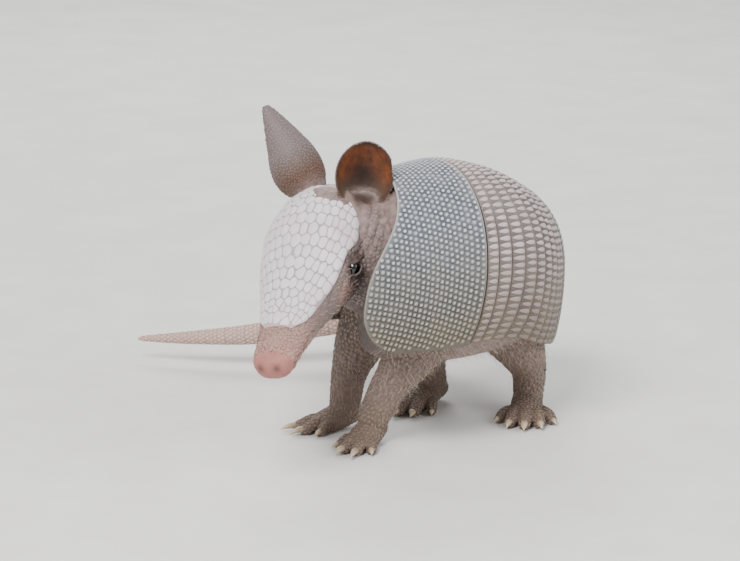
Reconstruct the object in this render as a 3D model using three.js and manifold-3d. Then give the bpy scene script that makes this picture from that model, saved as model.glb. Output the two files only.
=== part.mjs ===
// A young nine-banded armadillo, life size, standing low on its four feet.
// Millimetres, +Z up. It faces -Y with its left side at +X, and its body bends round to its right.
import * as THREE from 'three';
import { mergeVertices } from 'three/addons/utils/BufferGeometryUtils.js';
import Module from 'manifold-3d';

const wasm = await Module();
wasm.setup();
const RAD = Math.PI / 180;
const V = (x, y, z) => new THREE.Vector3(x, y, z);

// Driving dimensions
const GAP = 0.35;              // free space left between neighbouring pieces
const PLATE = 1.3;             // thickness of the shell plates
const SHELL_SIDE = 118;        // degrees from the crest down to the shell's lower edge
const BANDS = 9;
const BAND_FIRST = 0.6;        // where the first band starts along the body
const BAND_PITCH = 3.5;        // length of one band along the body's middle line
const SHIELD_END = -0.2;       // rear edge of the shoulder shield
const RUMP_END = 84;           // rear edge of the hip shield
const EYE_RADIUS = 3.5;
const SOLE_LEVEL = 0;

// Smooth curve through knots [x, y].
function curve(x, knots) {
  const last = knots.length - 1;
  if (x <= knots[0][0]) return knots[0][1];
  if (x >= knots[last][0]) return knots[last][1];
  let i = 0;
  while (x > knots[i + 1][0]) i++;
  const slope = (k) => {
    const a = knots[Math.max(k - 1, 0)], b = knots[Math.min(k + 1, last)];
    return (b[1] - a[1]) / (b[0] - a[0]);
  };
  const [x0, y0] = knots[i], [x1, y1] = knots[i + 1], h = x1 - x0, t = (x - x0) / h;
  const t2 = t * t, t3 = t2 * t;
  return y0 * (2 * t3 - 3 * t2 + 1) + y1 * (3 * t2 - 2 * t3)
    + h * (slope(i) * (t3 - 2 * t2 + t) + slope(i + 1) * (t3 - t2));
}

// The body's middle line in plan: the heading of the tailward direction along it, and its start.
const HEADING = [[-62, 67], [-30, 72], [0, 80], [15, 99], [30, 115], [45, 128], [60, 134], [80, 138],
  [100, 142]];
const SPINE_AT_ZERO = [0.4, 6];
const SPINE_FROM = -70, SPINE_TO = 115;
const spineTable = (() => {
  const table = [[0, 0]];
  for (let s = SPINE_FROM; s < SPINE_TO; s++) {
    const a = curve(s + 0.5, HEADING) * RAD, [x, y] = table[table.length - 1];
    table.push([x + Math.cos(a), y + Math.sin(a)]);
  }
  const [zx, zy] = table[-SPINE_FROM];
  return table.map(([x, y]) => [x - zx + SPINE_AT_ZERO[0], y - zy + SPINE_AT_ZERO[1]]);
})();
function spine(s) {
  const f = Math.min(Math.max(s - SPINE_FROM, 0), spineTable.length - 1.001), i = Math.floor(f), t = f - i;
  const a = spineTable[i], b = spineTable[i + 1];
  return [a[0] + (b[0] - a[0]) * t, a[1] + (b[1] - a[1]) * t];
}

// The shell's cross-section along the body: half-width, height of the crest, level of the widest part, and
// depth below that.
const HALF_WIDTH = [[-60, 29], [-30, 34], [0, 36.5], [15, 36.2], [30, 34.2], [45, 31.8], [60, 28], [75, 22],
  [90, 10]];
const CREST = [[-60, 106], [-30, 113], [0, 116.5], [15, 113.2], [30, 106], [45, 98], [60, 88.5], [75, 76],
  [90, 60]];
const WIDEST = [[-60, 74], [0, 74], [15, 71], [30, 66], [45, 63], [60, 60], [90, 48]];
const DEPTH = [[-60, 57], [-20, 61], [0, 59], [9, 59], [20, 66], [45, 66], [56, 56], [70, 38], [90, 28]];
const SQUARE = 2 / 2.25;       // under 1, which makes the arch a little squarer than an ellipse

// The rings of the shell lean: their flanks and lower ends run ahead of the crest or behind it.
function lean(s, deg) {
  const a = Math.abs(deg);
  const flank = curve(s, [[-40, 0], [0, -2], [30, 3], [45, 2], [60, 0]]);
  return flank * curve(a, [[0, 0], [60, 0.75], [90, 1], [118, 0.9]])
    + curve(a, [[0, 0], [85, -0.2], [105, -2], [118, -5]]);
}
// A point of the shell at s along the body and deg round from the crest, plus to the left, inset inwards.
function shell(s, deg, inset = 0) {
  const at = s + lean(s, deg), [x, y] = spine(at), h = curve(at, HEADING) * RAD, t = deg * RAD;
  const w = curve(at, HALF_WIDTH) - inset, level = curve(at, WIDEST), upper = Math.abs(deg) < 90;
  const b = upper ? curve(at, CREST) - level - inset : curve(at, DEPTH) - inset;
  const bend = (v) => Math.sign(v) * Math.abs(v) ** SQUARE;
  const side = w * (upper ? bend(Math.sin(t)) : Math.sin(t));
  const rise = b * (upper ? bend(Math.cos(t)) : Math.cos(t));
  return V(x + side * Math.sin(h), y - side * Math.cos(h), level + rise);
}

// Geometry helpers
function surface(points, triangles) {
  const g = new THREE.BufferGeometry();
  g.setAttribute('position', new THREE.Float32BufferAttribute(points.flatMap((p) => [p.x, p.y, p.z]), 3));
  g.setIndex(triangles);
  return g;
}
// Faces outward, whichever way the rings were wound.
function outward(g) {
  const p = g.attributes.position, ix = g.index.array, a = V(), b = V(), c = V();
  let volume = 0;
  for (let i = 0; i < ix.length; i += 3) {
    a.fromBufferAttribute(p, ix[i]); b.fromBufferAttribute(p, ix[i + 1]); c.fromBufferAttribute(p, ix[i + 2]);
    volume += a.dot(b.clone().cross(c));
  }
  if (volume < 0) for (let i = 0; i < ix.length; i += 3) [ix[i], ix[i + 1]] = [ix[i + 1], ix[i]];
  return g;
}
// A closed body through rings of points, with a point at each end.
function loft(rings, first, last) {
  const n = rings[0].length, m = rings.length, points = [...rings.flat(), first, last], tri = [];
  for (let i = 0; i < m - 1; i++) for (let j = 0; j < n; j++) {
    const a = i * n + j, b = i * n + (j + 1) % n, c = a + n, d = b + n;
    tri.push(a, b, c, b, d, c);
  }
  for (let j = 0; j < n; j++) {
    tri.push(m * n, (j + 1) % n, j, m * n + 1, (m - 1) * n + j, (m - 1) * n + (j + 1) % n);
  }
  return outward(surface(points, tri));
}
// A closed plate between an outer and an inner surface over u, v in 0..1.
function plate(nu, nv, outer, inner) {
  const points = [], tri = [], n = nv + 1, half = (nu + 1) * n;
  for (const f of [outer, inner]) {
    for (let i = 0; i <= nu; i++) for (let j = 0; j <= nv; j++) points.push(f(i / nu, j / nv));
  }
  for (let i = 0; i < nu; i++) for (let j = 0; j < nv; j++) {
    const a = i * n + j, b = a + 1, c = a + n, d = c + 1;
    tri.push(a, b, c, b, d, c, half + a, half + c, half + b, half + b, half + c, half + d);
  }
  const rim = [];
  for (let j = 0; j < nv; j++) rim.push(j);
  for (let i = 0; i < nu; i++) rim.push(i * n + nv);
  for (let j = nv; j > 0; j--) rim.push(nu * n + j);
  for (let i = nu; i > 0; i--) rim.push(i * n);
  rim.forEach((a, k) => {
    const b = rim[(k + 1) % rim.length];
    tri.push(b, a, half + a, b, half + a, half + b);
  });
  return outward(surface(points, tri));
}
function solid(g) {
  const clean = g.clone();
  clean.deleteAttribute('normal');
  clean.deleteAttribute('uv');
  const m = mergeVertices(clean, 1e-4);
  return new wasm.Manifold(new wasm.Mesh({
    numProp: 3, vertProperties: Float32Array.from(m.attributes.position.array),
    triVerts: Uint32Array.from(m.index.array),
  }));
}
function geometry(manifold) {
  const mesh = manifold.getMesh(), g = new THREE.BufferGeometry();
  g.setAttribute('position', new THREE.BufferAttribute(Float32Array.from(mesh.vertProperties), 3));
  g.setIndex(Array.from(mesh.triVerts));
  return g;
}
// The largest connected body of a cut solid.
function mainBody(manifold) {
  return manifold.decompose().reduce((a, b) => (a.volume() > b.volume() ? a : b));
}
// A round-ended limb along a smooth path of [x, y, z, radius], with flat for its height over its width.
function limb(path, { grow = 0, sides = 10, steps = 5, flat = 1, round = [45] } = {}) {
  const line = new THREE.CatmullRomCurve3(path.map(([x, y, z]) => V(x, y, z)));
  const knots = path.map((p, i) => [i / (path.length - 1), p[3]]);
  const ring = (c, dir, r) => {
    const side = V(-dir.y, dir.x, 0);
    if (side.length() < 0.05) side.set(1, 0, 0);
    side.normalize();
    const up = dir.clone().cross(side).normalize();
    return Array.from({ length: sides }, (_, j) => {
      const a = (2 * Math.PI * j) / sides;
      return c.clone().addScaledVector(side, r * Math.cos(a)).addScaledVector(up, r * flat * Math.sin(a));
    });
  };
  const rings = [], ends = [];
  for (const end of [0, 1]) {
    const c = line.getPoint(end), d = line.getTangent(end), r = curve(end, knots) + grow, out = end ? 1 : -1;
    const cap = (a) => ring(c.clone().addScaledVector(d, out * r * Math.sin(a)), d, r * Math.cos(a));
    const caps = round.map((a) => cap(a * RAD));
    ends.push({ caps, tip: c.clone().addScaledVector(d, out * r) });
  }
  rings.push(...ends[0].caps.slice().reverse());
  for (let i = 0; i <= steps; i++) {
    const t = i / steps;
    rings.push(ring(line.getPoint(t), line.getTangent(t), curve(t, knots) + grow));
  }
  rings.push(...ends[1].caps);
  return solid(loft(rings, ends[0].tip, ends[1].tip));
}
const united = (list) => list.reduce((a, b) => a.add(b));

// Shell plates
const sides = (v, reach = SHELL_SIDE) => reach * (2 * v - 1);
function shieldFront(deg) {
  return curve(Math.abs(deg), [[0, -26], [45, -33.4], [80, -45.6], [100, -48], [112, -42], [118, -32]]);
}
function scapularShield(grow = 0) {
  const s = (u, v) => THREE.MathUtils.lerp(shieldFront(sides(v)) - grow, SHIELD_END, u);
  return plate(5, 16, (u, v) => shell(s(u, v), sides(v), -grow),
    (u, v) => shell(s(u, v), sides(v), PLATE + grow));
}
// Each band slopes up a little towards its rear edge, over the front of the next.
function band(i) {
  const from = BAND_FIRST + i * BAND_PITCH, to = from + BAND_PITCH - GAP * 1.25;
  const s = (u) => THREE.MathUtils.lerp(from, to, u);
  const dip = (u) => 0.5 * (1 - u);
  return plate(1, 16, (u, v) => shell(s(u), sides(v), dip(u)), (u, v) => shell(s(u), sides(v), PLATE + 0.2));
}
const PELVIC_START = BAND_FIRST + BANDS * BAND_PITCH;
function pelvicEnd(deg) {
  return RUMP_END - curve(Math.abs(deg), [[0, 0], [60, 3], [90, 8], [105, 14], [118, 27]]);
}
function pelvicShield() {
  const s = (u, v) => THREE.MathUtils.lerp(PELVIC_START, pelvicEnd(sides(v)), u);
  return plate(6, 16, (u, v) => shell(s(u, v), sides(v)), (u, v) => shell(s(u, v), sides(v), PLATE));
}

// The trunk fills the shell and closes it below with the soft belly.
const TRUNK_FRONT = -33, TRUNK_BACK = 82;
const BELLY = [[-33, 38], [-20, 34], [10, 33], [45, 34], [65, 38], [82, 44]];
function trunk(grow = 0) {
  const n = 20, rings = [];
  for (let i = 0; i <= 10; i++) {
    const s = THREE.MathUtils.lerp(TRUNK_FRONT - grow, TRUNK_BACK + grow, i / 10);
    const inset = PLATE + 0.55 + GAP + curve(s, [[-34, 7], [-27, 2.5], [-20, 0.5], [-10, 0], [84, 0]]) - grow;
    const [x, y] = spine(s), h = curve(s, HEADING) * RAD;
    const belly = curve(s, BELLY) - grow, level = curve(s, WIDEST);
    rings.push(Array.from({ length: n }, (_, j) => {
      const deg = -180 + (360 * (j + 0.5)) / n;
      if (Math.abs(deg) < 90) {
        const q = shell(s - lean(s, deg), deg, inset);
        return q;
      }
      const c = Math.cos(deg * RAD), w = curve(s, HALF_WIDTH) - inset - 0.4;
      const side = w * Math.sign(deg) * Math.abs(Math.sin(deg * RAD)) ** 0.85;
      return V(x + side * Math.sin(h), y - side * Math.cos(h), level - (level - belly) * Math.abs(c) ** 0.8);
    }));
  }
  const middle = (ring) => ring.reduce((a, p) => a.add(p), V(0, 0, 0)).divideScalar(n);
  return solid(loft(rings, middle(rings[0]), middle(rings[10])));
}
// All the space the shell takes up, over its lower edge.
function shellSpace(grow) {
  const n = 16, rings = [];
  for (let i = 0; i <= 9; i++) {
    const s = THREE.MathUtils.lerp(-50, 88, i / 9);
    rings.push(Array.from({ length: n + 1 }, (_, j) => shell(s, sides(j / n, SHELL_SIDE + 2), -grow)));
  }
  const middle = (ring) => ring[0].clone().add(ring[n]).multiplyScalar(0.5).lerp(ring[n / 2], 0.5);
  return solid(loft(rings, middle(rings[0]), middle(rings[9])));
}

// The head: an axis from the back of the skull to the nose, turned to the left, pitched down and rolled
// a little.
const HEAD_LENGTH = 85, HEAD_BACK = V(-23.4, -36.3, 90.6);
const HEAD_HEADING = 28, HEAD_PITCH = -28.5, HEAD_ROLL = 6;
const FORWARD = V(Math.sin(HEAD_HEADING * RAD) * Math.cos(HEAD_PITCH * RAD),
  -Math.cos(HEAD_HEADING * RAD) * Math.cos(HEAD_PITCH * RAD), Math.sin(HEAD_PITCH * RAD));
const LEFT = V(-FORWARD.y, FORWARD.x, 0).normalize().applyAxisAngle(FORWARD, HEAD_ROLL * RAD);
const UP = FORWARD.clone().cross(LEFT);
const onHead = (d, side, rise) => HEAD_BACK.clone().addScaledVector(FORWARD, d)
  .addScaledVector(LEFT, side).addScaledVector(UP, rise);
const HEAD_SIDE = [[-12, 15], [0, 19.4], [14, 21.3], [26, 20.4], [38, 17], [52, 12.6], [68, 9.6], [80, 8.3],
  [85, 6.9]];
const HEAD_TOP = [[-12, 13], [0, 16.6], [14, 17], [26, 15.2], [38, 12.4], [52, 9.4], [68, 6.8], [80, 5.6],
  [85, 4.2]];
const HEAD_BASE = [[-12, 17], [0, 20], [14, 20.5], [26, 19.2], [38, 16.2], [52, 12.6], [68, 9.6], [80, 7.8],
  [85, 5.8]];
function headPoint(d, deg, inset = 0) {
  const s = Math.sin(deg * RAD), c = Math.cos(deg * RAD), w = curve(d, HEAD_SIDE) - inset;
  const h = (c > 0 ? curve(d, HEAD_TOP) : curve(d, HEAD_BASE)) - inset;
  return onHead(d, w * Math.sign(s) * Math.abs(s) ** 0.9, h * Math.sign(c) * Math.abs(c) ** 0.9);
}
function headBody(grow = 0) {
  const n = 14, stops = [-12, -4, 4, 12, 20, 28, 36, 44, 53, 63, 73, 80, 84.4];
  const rings = stops.map((d) => Array.from({ length: n }, (_, j) => headPoint(d, (360 * j) / n, -grow)));
  return solid(loft(rings, onHead(-15 - grow, 0, 0), onHead(HEAD_LENGTH + grow, 0, -0.3)));
}
const CROWN = -10, SHIELD_TIP = 66;
function headShieldSide(d) {
  return curve(d, [[-10, 24], [-4, 46], [2, 57], [8, 64], [16, 68], [25, 60], [36, 68], [50, 71], [60, 60],
    [66, 34]]);
}
function headShield(grow = 0) {
  const at = (u) => THREE.MathUtils.lerp(CROWN - grow, SHIELD_TIP + grow, u);
  const point = (u, v, inset) => headPoint(at(u), (headShieldSide(at(u)) + grow * 3.2) * (2 * v - 1), inset);
  return plate(9, 8, (u, v) => point(u, v, -1 - grow * 2),
    (u, v) => point(u, v, -0.1 + (grow ? grow * 1.6 : 0)));
}
const eyeCentre = (side) => onHead(23.6, side * 17.8, -0.5);
const sphere = (centre, radius, rings) => {
  const g = new THREE.IcosahedronGeometry(radius, rings);
  g.translate(centre.x, centre.y, centre.z);
  return g;
};

// An ear is a thin leaf rolled into a cup: root, length up to the tip, the way its hollow faces, and
// half-width.
const EAR_THICK = 1.2;
const EAR_ROLL = [[0, 125], [0.2, 104], [0.5, 84], [0.8, 66], [1, 50]];
function ear({ root, axis, facing, width }) {
  const up = axis.clone().normalize();
  const open = facing.clone().addScaledVector(up, -facing.dot(up)).normalize();
  const across = up.clone().cross(open);
  const point = (u, v, out) => {
    const roll = curve(u, EAR_ROLL) * RAD, r = curve(u, width) / Math.sin(Math.min(roll, Math.PI / 2));
    const a = roll * (2 * v - 1), back = curve(u, [[0, 0], [0.5, 2], [1, 1]]);
    return root.clone().addScaledVector(axis, u).addScaledVector(across, (r + out) * Math.sin(a))
      .addScaledVector(open, r * 0.75 - (r + out) * Math.cos(a) - back);
  };
  return solid(plate(7, 9, (u, v) => point(u, v, EAR_THICK), (u, v) => point(u, v, 0)));
}

// Feet: toes fan out from the foot, and each has its claw. A foot has its toes' angle, length and radius.
const FRONT_TOES = [[27, 10.5, 2.4, 4.5], [9, 14, 2.8, 8], [-8, 13.6, 2.8, 7.6], [-28, 9.5, 2.3, 4.2]];
const HIND_TOES = [[31, 9.5, 2.4, 3.4], [14, 14, 2.9, 5], [0, 15.5, 3.1, 5.8], [-14, 13.6, 2.9, 5],
  [-31, 9, 2.3, 3.2]];
function foot(heel, heading, toes, long, mirror, grow = 0) {
  const dir = (deg) => [Math.sin((heading + deg) * RAD), -Math.cos((heading + deg) * RAD)];
  const at = (deg, d, z, r) => { const [x, y] = dir(deg); return [heel[0] + x * d, heel[1] + y * d, z, r]; };
  const sole = [at(0, -1, 6.2, 6.4), at(0, long * 0.5, 4.8, 6.8), at(0, long, 3.4, 6.6)];
  const pad = limb(sole, { grow, flat: 0.8, steps: 2, sides: 8 });
  const toe = ([deg, d, r]) => {
    const a = deg * mirror;
    const bones = [at(a, long * 0.6, r + 0.9, r), at(a, long + d * 0.45, r + 1.1, r),
      at(a, long + d * 0.82, r - 0.5, r * 0.84)];
    return limb(bones, { grow, sides: 6, steps: 2, round: [] });
  };
  return { body: united([pad, ...toes.map(toe)]), at };
}
function claws(f, toes, long, mirror) {
  return toes.map(([deg, d, r, claw]) => {
    const a = deg * mirror, start = long + d * 0.82;
    return limb([f.at(a, start, r * 0.9, r * 0.62), f.at(a, start + claw * 0.55, r * 0.85, r * 0.5),
      f.at(a, start + claw, r * 0.42 + 0.3, 0.42)], { sides: 5, steps: 2, flat: 0.9, round: [] });
  });
}
const LEGS = {
  front_left: { heel: [-9.9, -24], heading: 18, toes: FRONT_TOES, long: 8, mirror: 1,
    path: [[10, -6, 56, 13], [5.4, -14.4, 41, 11.5], [-2.5, -20.2, 26, 8.2], [-8.8, -24.2, 11, 6.7]] },
  front_right: { heel: [-33, -17], heading: -20, toes: FRONT_TOES, long: 8, mirror: -1,
    path: [[-22, -8, 56, 13], [-27, -12, 40, 11.5], [-31.5, -15.4, 24, 7.8], [-33, -16.6, 10, 6.6]] },
  hind_left: { heel: [5, 54.5], heading: 40, toes: HIND_TOES, long: 14, mirror: 1,
    path: [[-3, 40, 54, 17], [4, 44.5, 38, 14], [6.5, 53, 20, 8], [5, 55, 8, 6.6]] },
  hind_right: { heel: [-34, 37], heading: 12, toes: HIND_TOES, long: 14, mirror: -1,
    path: [[-22, 34, 54, 17], [-28, 31, 38, 14], [-33.5, 34, 20, 8], [-34, 36.5, 8, 6.6]] },
};
const floorBlock = () => {
  const g = new THREE.BoxGeometry(800, 800, 40);
  g.translate(0, 0, SOLE_LEVEL - 20);
  return solid(g);
};

// The tail leaves the rump, turns to the animal's right and comes forward beside the body.
const TAIL_PATH = [[-37.5, 74, 48], [-49, 82, 43], [-66, 83.4, 35], [-83.4, 72.1, 27.5], [-104.7, 48.1, 20.5],
  [-124.5, 22.6, 15.5], [-148, 4.2, 12.5], [-171, -8.5, 10]];
const TAIL_RADIUS = [[0, 10.5], [0.15, 9.3], [0.35, 7.8], [0.6, 5.7], [0.8, 3.7], [0.93, 2.2], [1, 1.2]];
const TAIL_LENGTHS = 5;
function tailPiece(i, grow = 0) {
  const line = new THREE.CatmullRomCurve3(TAIL_PATH.map(([x, y, z]) => V(x, y, z)));
  const gap = GAP / line.getLength(), from = i / TAIL_LENGTHS + (i ? gap / 2 : 0);
  const to = (i + 1) / TAIL_LENGTHS - gap / 2;
  const n = 10, rings = [];
  for (let k = 0; k <= 6; k++) {
    const t = THREE.MathUtils.lerp(from, i === TAIL_LENGTHS - 1 ? 1 : to, k / 6);
    const c = line.getPointAt(t), d = line.getTangentAt(t);
    const side = V(-d.y, d.x, 0).normalize(), up = d.clone().cross(side), r = curve(t, TAIL_RADIUS) + grow;
    rings.push(Array.from({ length: n }, (_, j) => {
      const a = (2 * Math.PI * j) / n;
      return c.clone().addScaledVector(side, r * Math.cos(a)).addScaledVector(up, r * Math.sin(a));
    }));
  }
  const middle = (ring) => ring[0].clone().add(ring[n / 2]).multiplyScalar(0.5);
  return solid(loft(rings, middle(rings[0]), middle(rings[6])));
}

// Colours
const material = (colour, roughness) =>
  new THREE.MeshStandardMaterial({ color: new THREE.Color(...colour), roughness });
const pieces = [];
const add = (name, g, colour, roughness = 0.7) => {
  const m = new THREE.Mesh(g, material(colour, roughness));
  m.name = name;
  pieces.push(m);
};
const SKIN = [0.36, 0.27, 0.25], SHELL = [0.33, 0.32, 0.33], PALE = [0.5, 0.46, 0.46];
const HORN = [0.62, 0.53, 0.42];

// Assembly
const trunkSolid = trunk(), trunkNear = trunk(GAP), shellNear = shellSpace(GAP);
const headNear = headBody(GAP);
const sockets = [1, -1].map((side) => solid(sphere(eyeCentre(side), EYE_RADIUS + 0.45, 1)));
const headSolid = mainBody(
  headBody().subtract(solid(headShield(0.3))).subtract(sockets[0]).subtract(sockets[1]));
const neck = (grow) => limb([[-9, -6, 76, 29], [-13.5, -22, 82, 27], [-21, -34.5, 88.5, 20.5]],
  { sides: 10, steps: 2, round: [30, 62], grow });
const ears = {
  left: ear({ root: onHead(-9, 14.6, 7.6), axis: V(9, -5.3, 24.6), facing: V(0.65, -0.65, -0.38),
    width: [[0, 3.8], [0.2, 8.2], [0.45, 11], [0.68, 10.8], [0.85, 8.6], [0.95, 5.6], [1, 2.6]] }),
  right: ear({ root: onHead(-13, -6.5, 8), axis: V(-25, -4.5, 32.3), facing: V(-0.72, 0.44, -0.42),
    width: [[0, 5], [0.2, 9.2], [0.4, 9.8], [0.6, 7.4], [0.8, 4.4], [0.93, 2.3], [1, 0.9]] }),
};
const tailRoot = tailPiece(0, GAP);
add('trunk', geometry(mainBody(trunkSolid.subtract(tailRoot).subtract(headNear))), SKIN);
add('neck', geometry(mainBody(neck(0).subtract(trunkNear).subtract(headNear).subtract(solid(scapularShield(GAP)))
  .subtract(solid(headShield(GAP))))), SKIN);
add('head', geometry(headSolid), SKIN);
add('head_shield', headShield(), PALE);
add('scapular_shield', scapularShield(), SHELL);
for (let i = 0; i < BANDS; i++) add(`band_${i + 1}`, band(i), PALE);
add('pelvic_shield', pelvicShield(), SHELL);
for (const [side, e] of Object.entries(ears)) {
  const free = e.subtract(headNear).subtract(solid(headShield(GAP))).subtract(neck(GAP)).subtract(trunkNear);
  add(`ear_${side}`, geometry(mainBody(free.subtract(solid(scapularShield(GAP))))), [0.42, 0.29, 0.22]);
}
add('eye_left', sphere(eyeCentre(1), EYE_RADIUS, 2), [0.03, 0.025, 0.025], 0.1);
add('eye_right', sphere(eyeCentre(-1), EYE_RADIUS, 2), [0.03, 0.025, 0.025], 0.1);
const floor = floorBlock();
for (const [name, leg] of Object.entries(LEGS)) {
  const build = (grow) => {
    const f = foot(leg.heel, leg.heading, leg.toes, leg.long, leg.mirror, grow);
    return { f, body: united([limb(leg.path, { grow, steps: 4, sides: 8 }), f.body]) };
  };
  const own = build(0), near = build(GAP);
  add(`leg_${name}`, geometry(mainBody(own.body.subtract(trunkNear).subtract(shellNear).subtract(floor))), SKIN);
  claws(own.f, leg.toes, leg.long, leg.mirror).forEach((claw, i) => {
    add(`claw_${name}_${i + 1}`, geometry(mainBody(claw.subtract(near.body).subtract(floor))), HORN, 0.4);
  });
}
for (let i = 0; i < TAIL_LENGTHS; i++) {
  add(`tail_${i + 1}`, geometry(tailPiece(i)), SKIN);
}

const group = new THREE.Group();
for (const mesh of pieces) group.add(mesh);
const box = new THREE.Box3().setFromObject(group), centre = box.getCenter(V());
for (const mesh of pieces) {
  mesh.geometry.translate(-centre.x, -centre.y, -box.min.z);
  mesh.geometry.computeVertexNormals();
}
export default group;
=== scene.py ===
# %% [markdown]
# # A young nine-banded armadillo, life size
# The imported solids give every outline. This script dresses them: one continuous skin for all the flesh, and
# over it the horny plates, scales and hairs, each a small closed mesh. The same few formulas that shape the
# solids are worked out again here with numpy, so skin and plates lie exactly where the solids are.

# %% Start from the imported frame
import math

import bmesh
import bpy
import numpy as np
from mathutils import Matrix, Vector
from mathutils.kdtree import KDTree


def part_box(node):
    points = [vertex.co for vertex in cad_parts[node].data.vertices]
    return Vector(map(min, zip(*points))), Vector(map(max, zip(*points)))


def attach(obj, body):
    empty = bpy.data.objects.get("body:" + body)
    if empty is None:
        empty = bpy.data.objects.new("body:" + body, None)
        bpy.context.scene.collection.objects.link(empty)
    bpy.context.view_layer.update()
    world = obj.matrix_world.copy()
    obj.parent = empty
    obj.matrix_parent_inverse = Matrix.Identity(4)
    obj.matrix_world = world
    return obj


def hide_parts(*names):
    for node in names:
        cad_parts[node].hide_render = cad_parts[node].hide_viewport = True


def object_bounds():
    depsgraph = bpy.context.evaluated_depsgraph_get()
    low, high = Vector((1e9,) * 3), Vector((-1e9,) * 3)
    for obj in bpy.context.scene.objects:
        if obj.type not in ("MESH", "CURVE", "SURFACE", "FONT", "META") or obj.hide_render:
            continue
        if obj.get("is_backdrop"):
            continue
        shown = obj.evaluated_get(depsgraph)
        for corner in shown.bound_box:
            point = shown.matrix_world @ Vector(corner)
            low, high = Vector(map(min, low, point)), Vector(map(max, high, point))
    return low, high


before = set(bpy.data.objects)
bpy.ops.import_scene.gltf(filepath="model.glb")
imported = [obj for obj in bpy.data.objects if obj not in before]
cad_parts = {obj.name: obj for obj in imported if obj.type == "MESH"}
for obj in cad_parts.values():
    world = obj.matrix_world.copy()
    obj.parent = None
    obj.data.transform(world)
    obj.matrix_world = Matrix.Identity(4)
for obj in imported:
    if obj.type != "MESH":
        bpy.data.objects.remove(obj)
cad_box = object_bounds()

MM = 0.001                      # the formulas count in millimetres, and meshes are made in metres
rng = np.random.default_rng(9)
print("solids to dress:", len(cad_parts))

# %% [markdown]
# ## The body's formulas
# An armadillo bends in plan, so its shell is drawn round a curved middle line: a point is named by how far it
# is along that line and by how many degrees it is round from the crest. Smooth curves through a few knots give
# the heading, width and heights. They could be drawn by hand in edit mode, but a formula can be asked for a
# million points and always agrees with the solids.

# %% Smooth curves through knots
def curve(x, knots):
    """Cubic through the knots (x, y): each span leaves its ends with the mean slope of the spans on both sides."""
    kx, ky = np.asarray(knots, float).T
    x = np.asarray(x, float)
    before, after = np.maximum(np.arange(len(kx)) - 1, 0), np.minimum(np.arange(len(kx)) + 1, len(kx) - 1)
    slope = (ky[after] - ky[before]) / (kx[after] - kx[before])
    i = np.clip(np.searchsorted(kx, x) - 1, 0, len(kx) - 2)
    h = kx[i + 1] - kx[i]
    t = np.clip((x - kx[i]) / h, 0, 1)
    return (ky[i] * (2 * t ** 3 - 3 * t ** 2 + 1) + ky[i + 1] * (3 * t ** 2 - 2 * t ** 3)
            + h * (slope[i] * (t ** 3 - 2 * t ** 2 + t) + slope[i + 1] * (t ** 3 - t ** 2)))


def step(x, low, high):
    """0 below low, 1 above high, and a smooth S between them."""
    t = np.clip((np.asarray(x, float) - low) / (high - low), 0, 1)
    return t * t * (3 - 2 * t)


def unit(v):
    """Each vector over its own length."""
    return v / np.maximum(np.linalg.norm(v, axis=-1, keepdims=True), 1e-12)


def nearest(p, line):
    """For each point, the number of the line's point with the least squared distance, some thousands at a time."""
    lumps = np.array_split(p, len(p) // 4000 + 1)
    return np.concatenate([np.argmin(((q[:, None] - line[None]) ** 2).sum(-1), 1) for q in lumps])


print("a curve through (0, 0), (1, 2), (2, 0) at 0.5:", curve(0.5, [[0, 0], [1, 2], [2, 0]]))

# %% [markdown]
# ### The shell's formula
# The shell is an arch carried along the curved middle line. A plain half ellipse would be too round on top, so
# its sines and cosines are raised to a power a little under 1. It could be lofted through hand-drawn rings, but
# the formula can also be read backwards, which tells where any point lies on the shell.

# %% The middle line and the shell round it
HEADING = [[-62, 67], [-30, 72], [0, 80], [15, 99], [30, 115], [45, 128], [60, 134], [80, 138], [100, 142]]
SPINE_AT_ZERO = [0.4, 6]
SPINE_FROM, SPINE_TO = -70, 115
HALF_WIDTH = [[-60, 29], [-30, 34], [0, 36.5], [15, 36.2], [30, 34.2], [45, 31.8], [60, 28], [75, 22], [90, 10]]
CREST = [[-60, 106], [-30, 113], [0, 116.5], [15, 113.2], [30, 106], [45, 98], [60, 88.5], [75, 76], [90, 60]]
WIDEST = [[-60, 74], [0, 74], [15, 71], [30, 66], [45, 63], [60, 60], [90, 48]]
DEPTH = [[-60, 57], [-20, 61], [0, 59], [9, 59], [20, 66], [45, 66], [56, 56], [70, 38], [90, 28]]
SQUARE = 2 / 2.25               # under 1, which makes the arch a little squarer than an ellipse
GAP, PLATE, SHELL_SIDE = 0.35, 1.3, 118

stations = np.arange(SPINE_FROM, SPINE_TO + 1)
turns = np.radians(curve(stations[:-1] + 0.5, HEADING))
middle_line = np.vstack([[0, 0], np.cumsum(np.stack([np.cos(turns), np.sin(turns)], 1), 0)])
middle_line += np.array(SPINE_AT_ZERO) - middle_line[-SPINE_FROM]
print("middle line:", len(stations), "stations, 1 mm apart")


def lean(s, deg):
    """How far a ring of the shell runs ahead of its crest or behind it, round at deg degrees."""
    a = np.abs(deg)
    flank = curve(s, [[-40, 0], [0, -2], [30, 3], [45, 2], [60, 0]])
    return (flank * curve(a, [[0, 0], [60, 0.75], [90, 1], [118, 0.9]])
            + curve(a, [[0, 0], [85, -0.2], [105, -2], [118, -5]]))


def section(at):
    """At a place along the body: the middle line's x, y and heading, half-width, level of the widest part,
    height above it and depth below it."""
    x, y = np.interp(at, stations, middle_line[:, 0]), np.interp(at, stations, middle_line[:, 1])
    level = curve(at, WIDEST)
    return (x, y, np.radians(curve(at, HEADING)), curve(at, HALF_WIDTH), level,
            curve(at, CREST) - level, curve(at, DEPTH))


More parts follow.
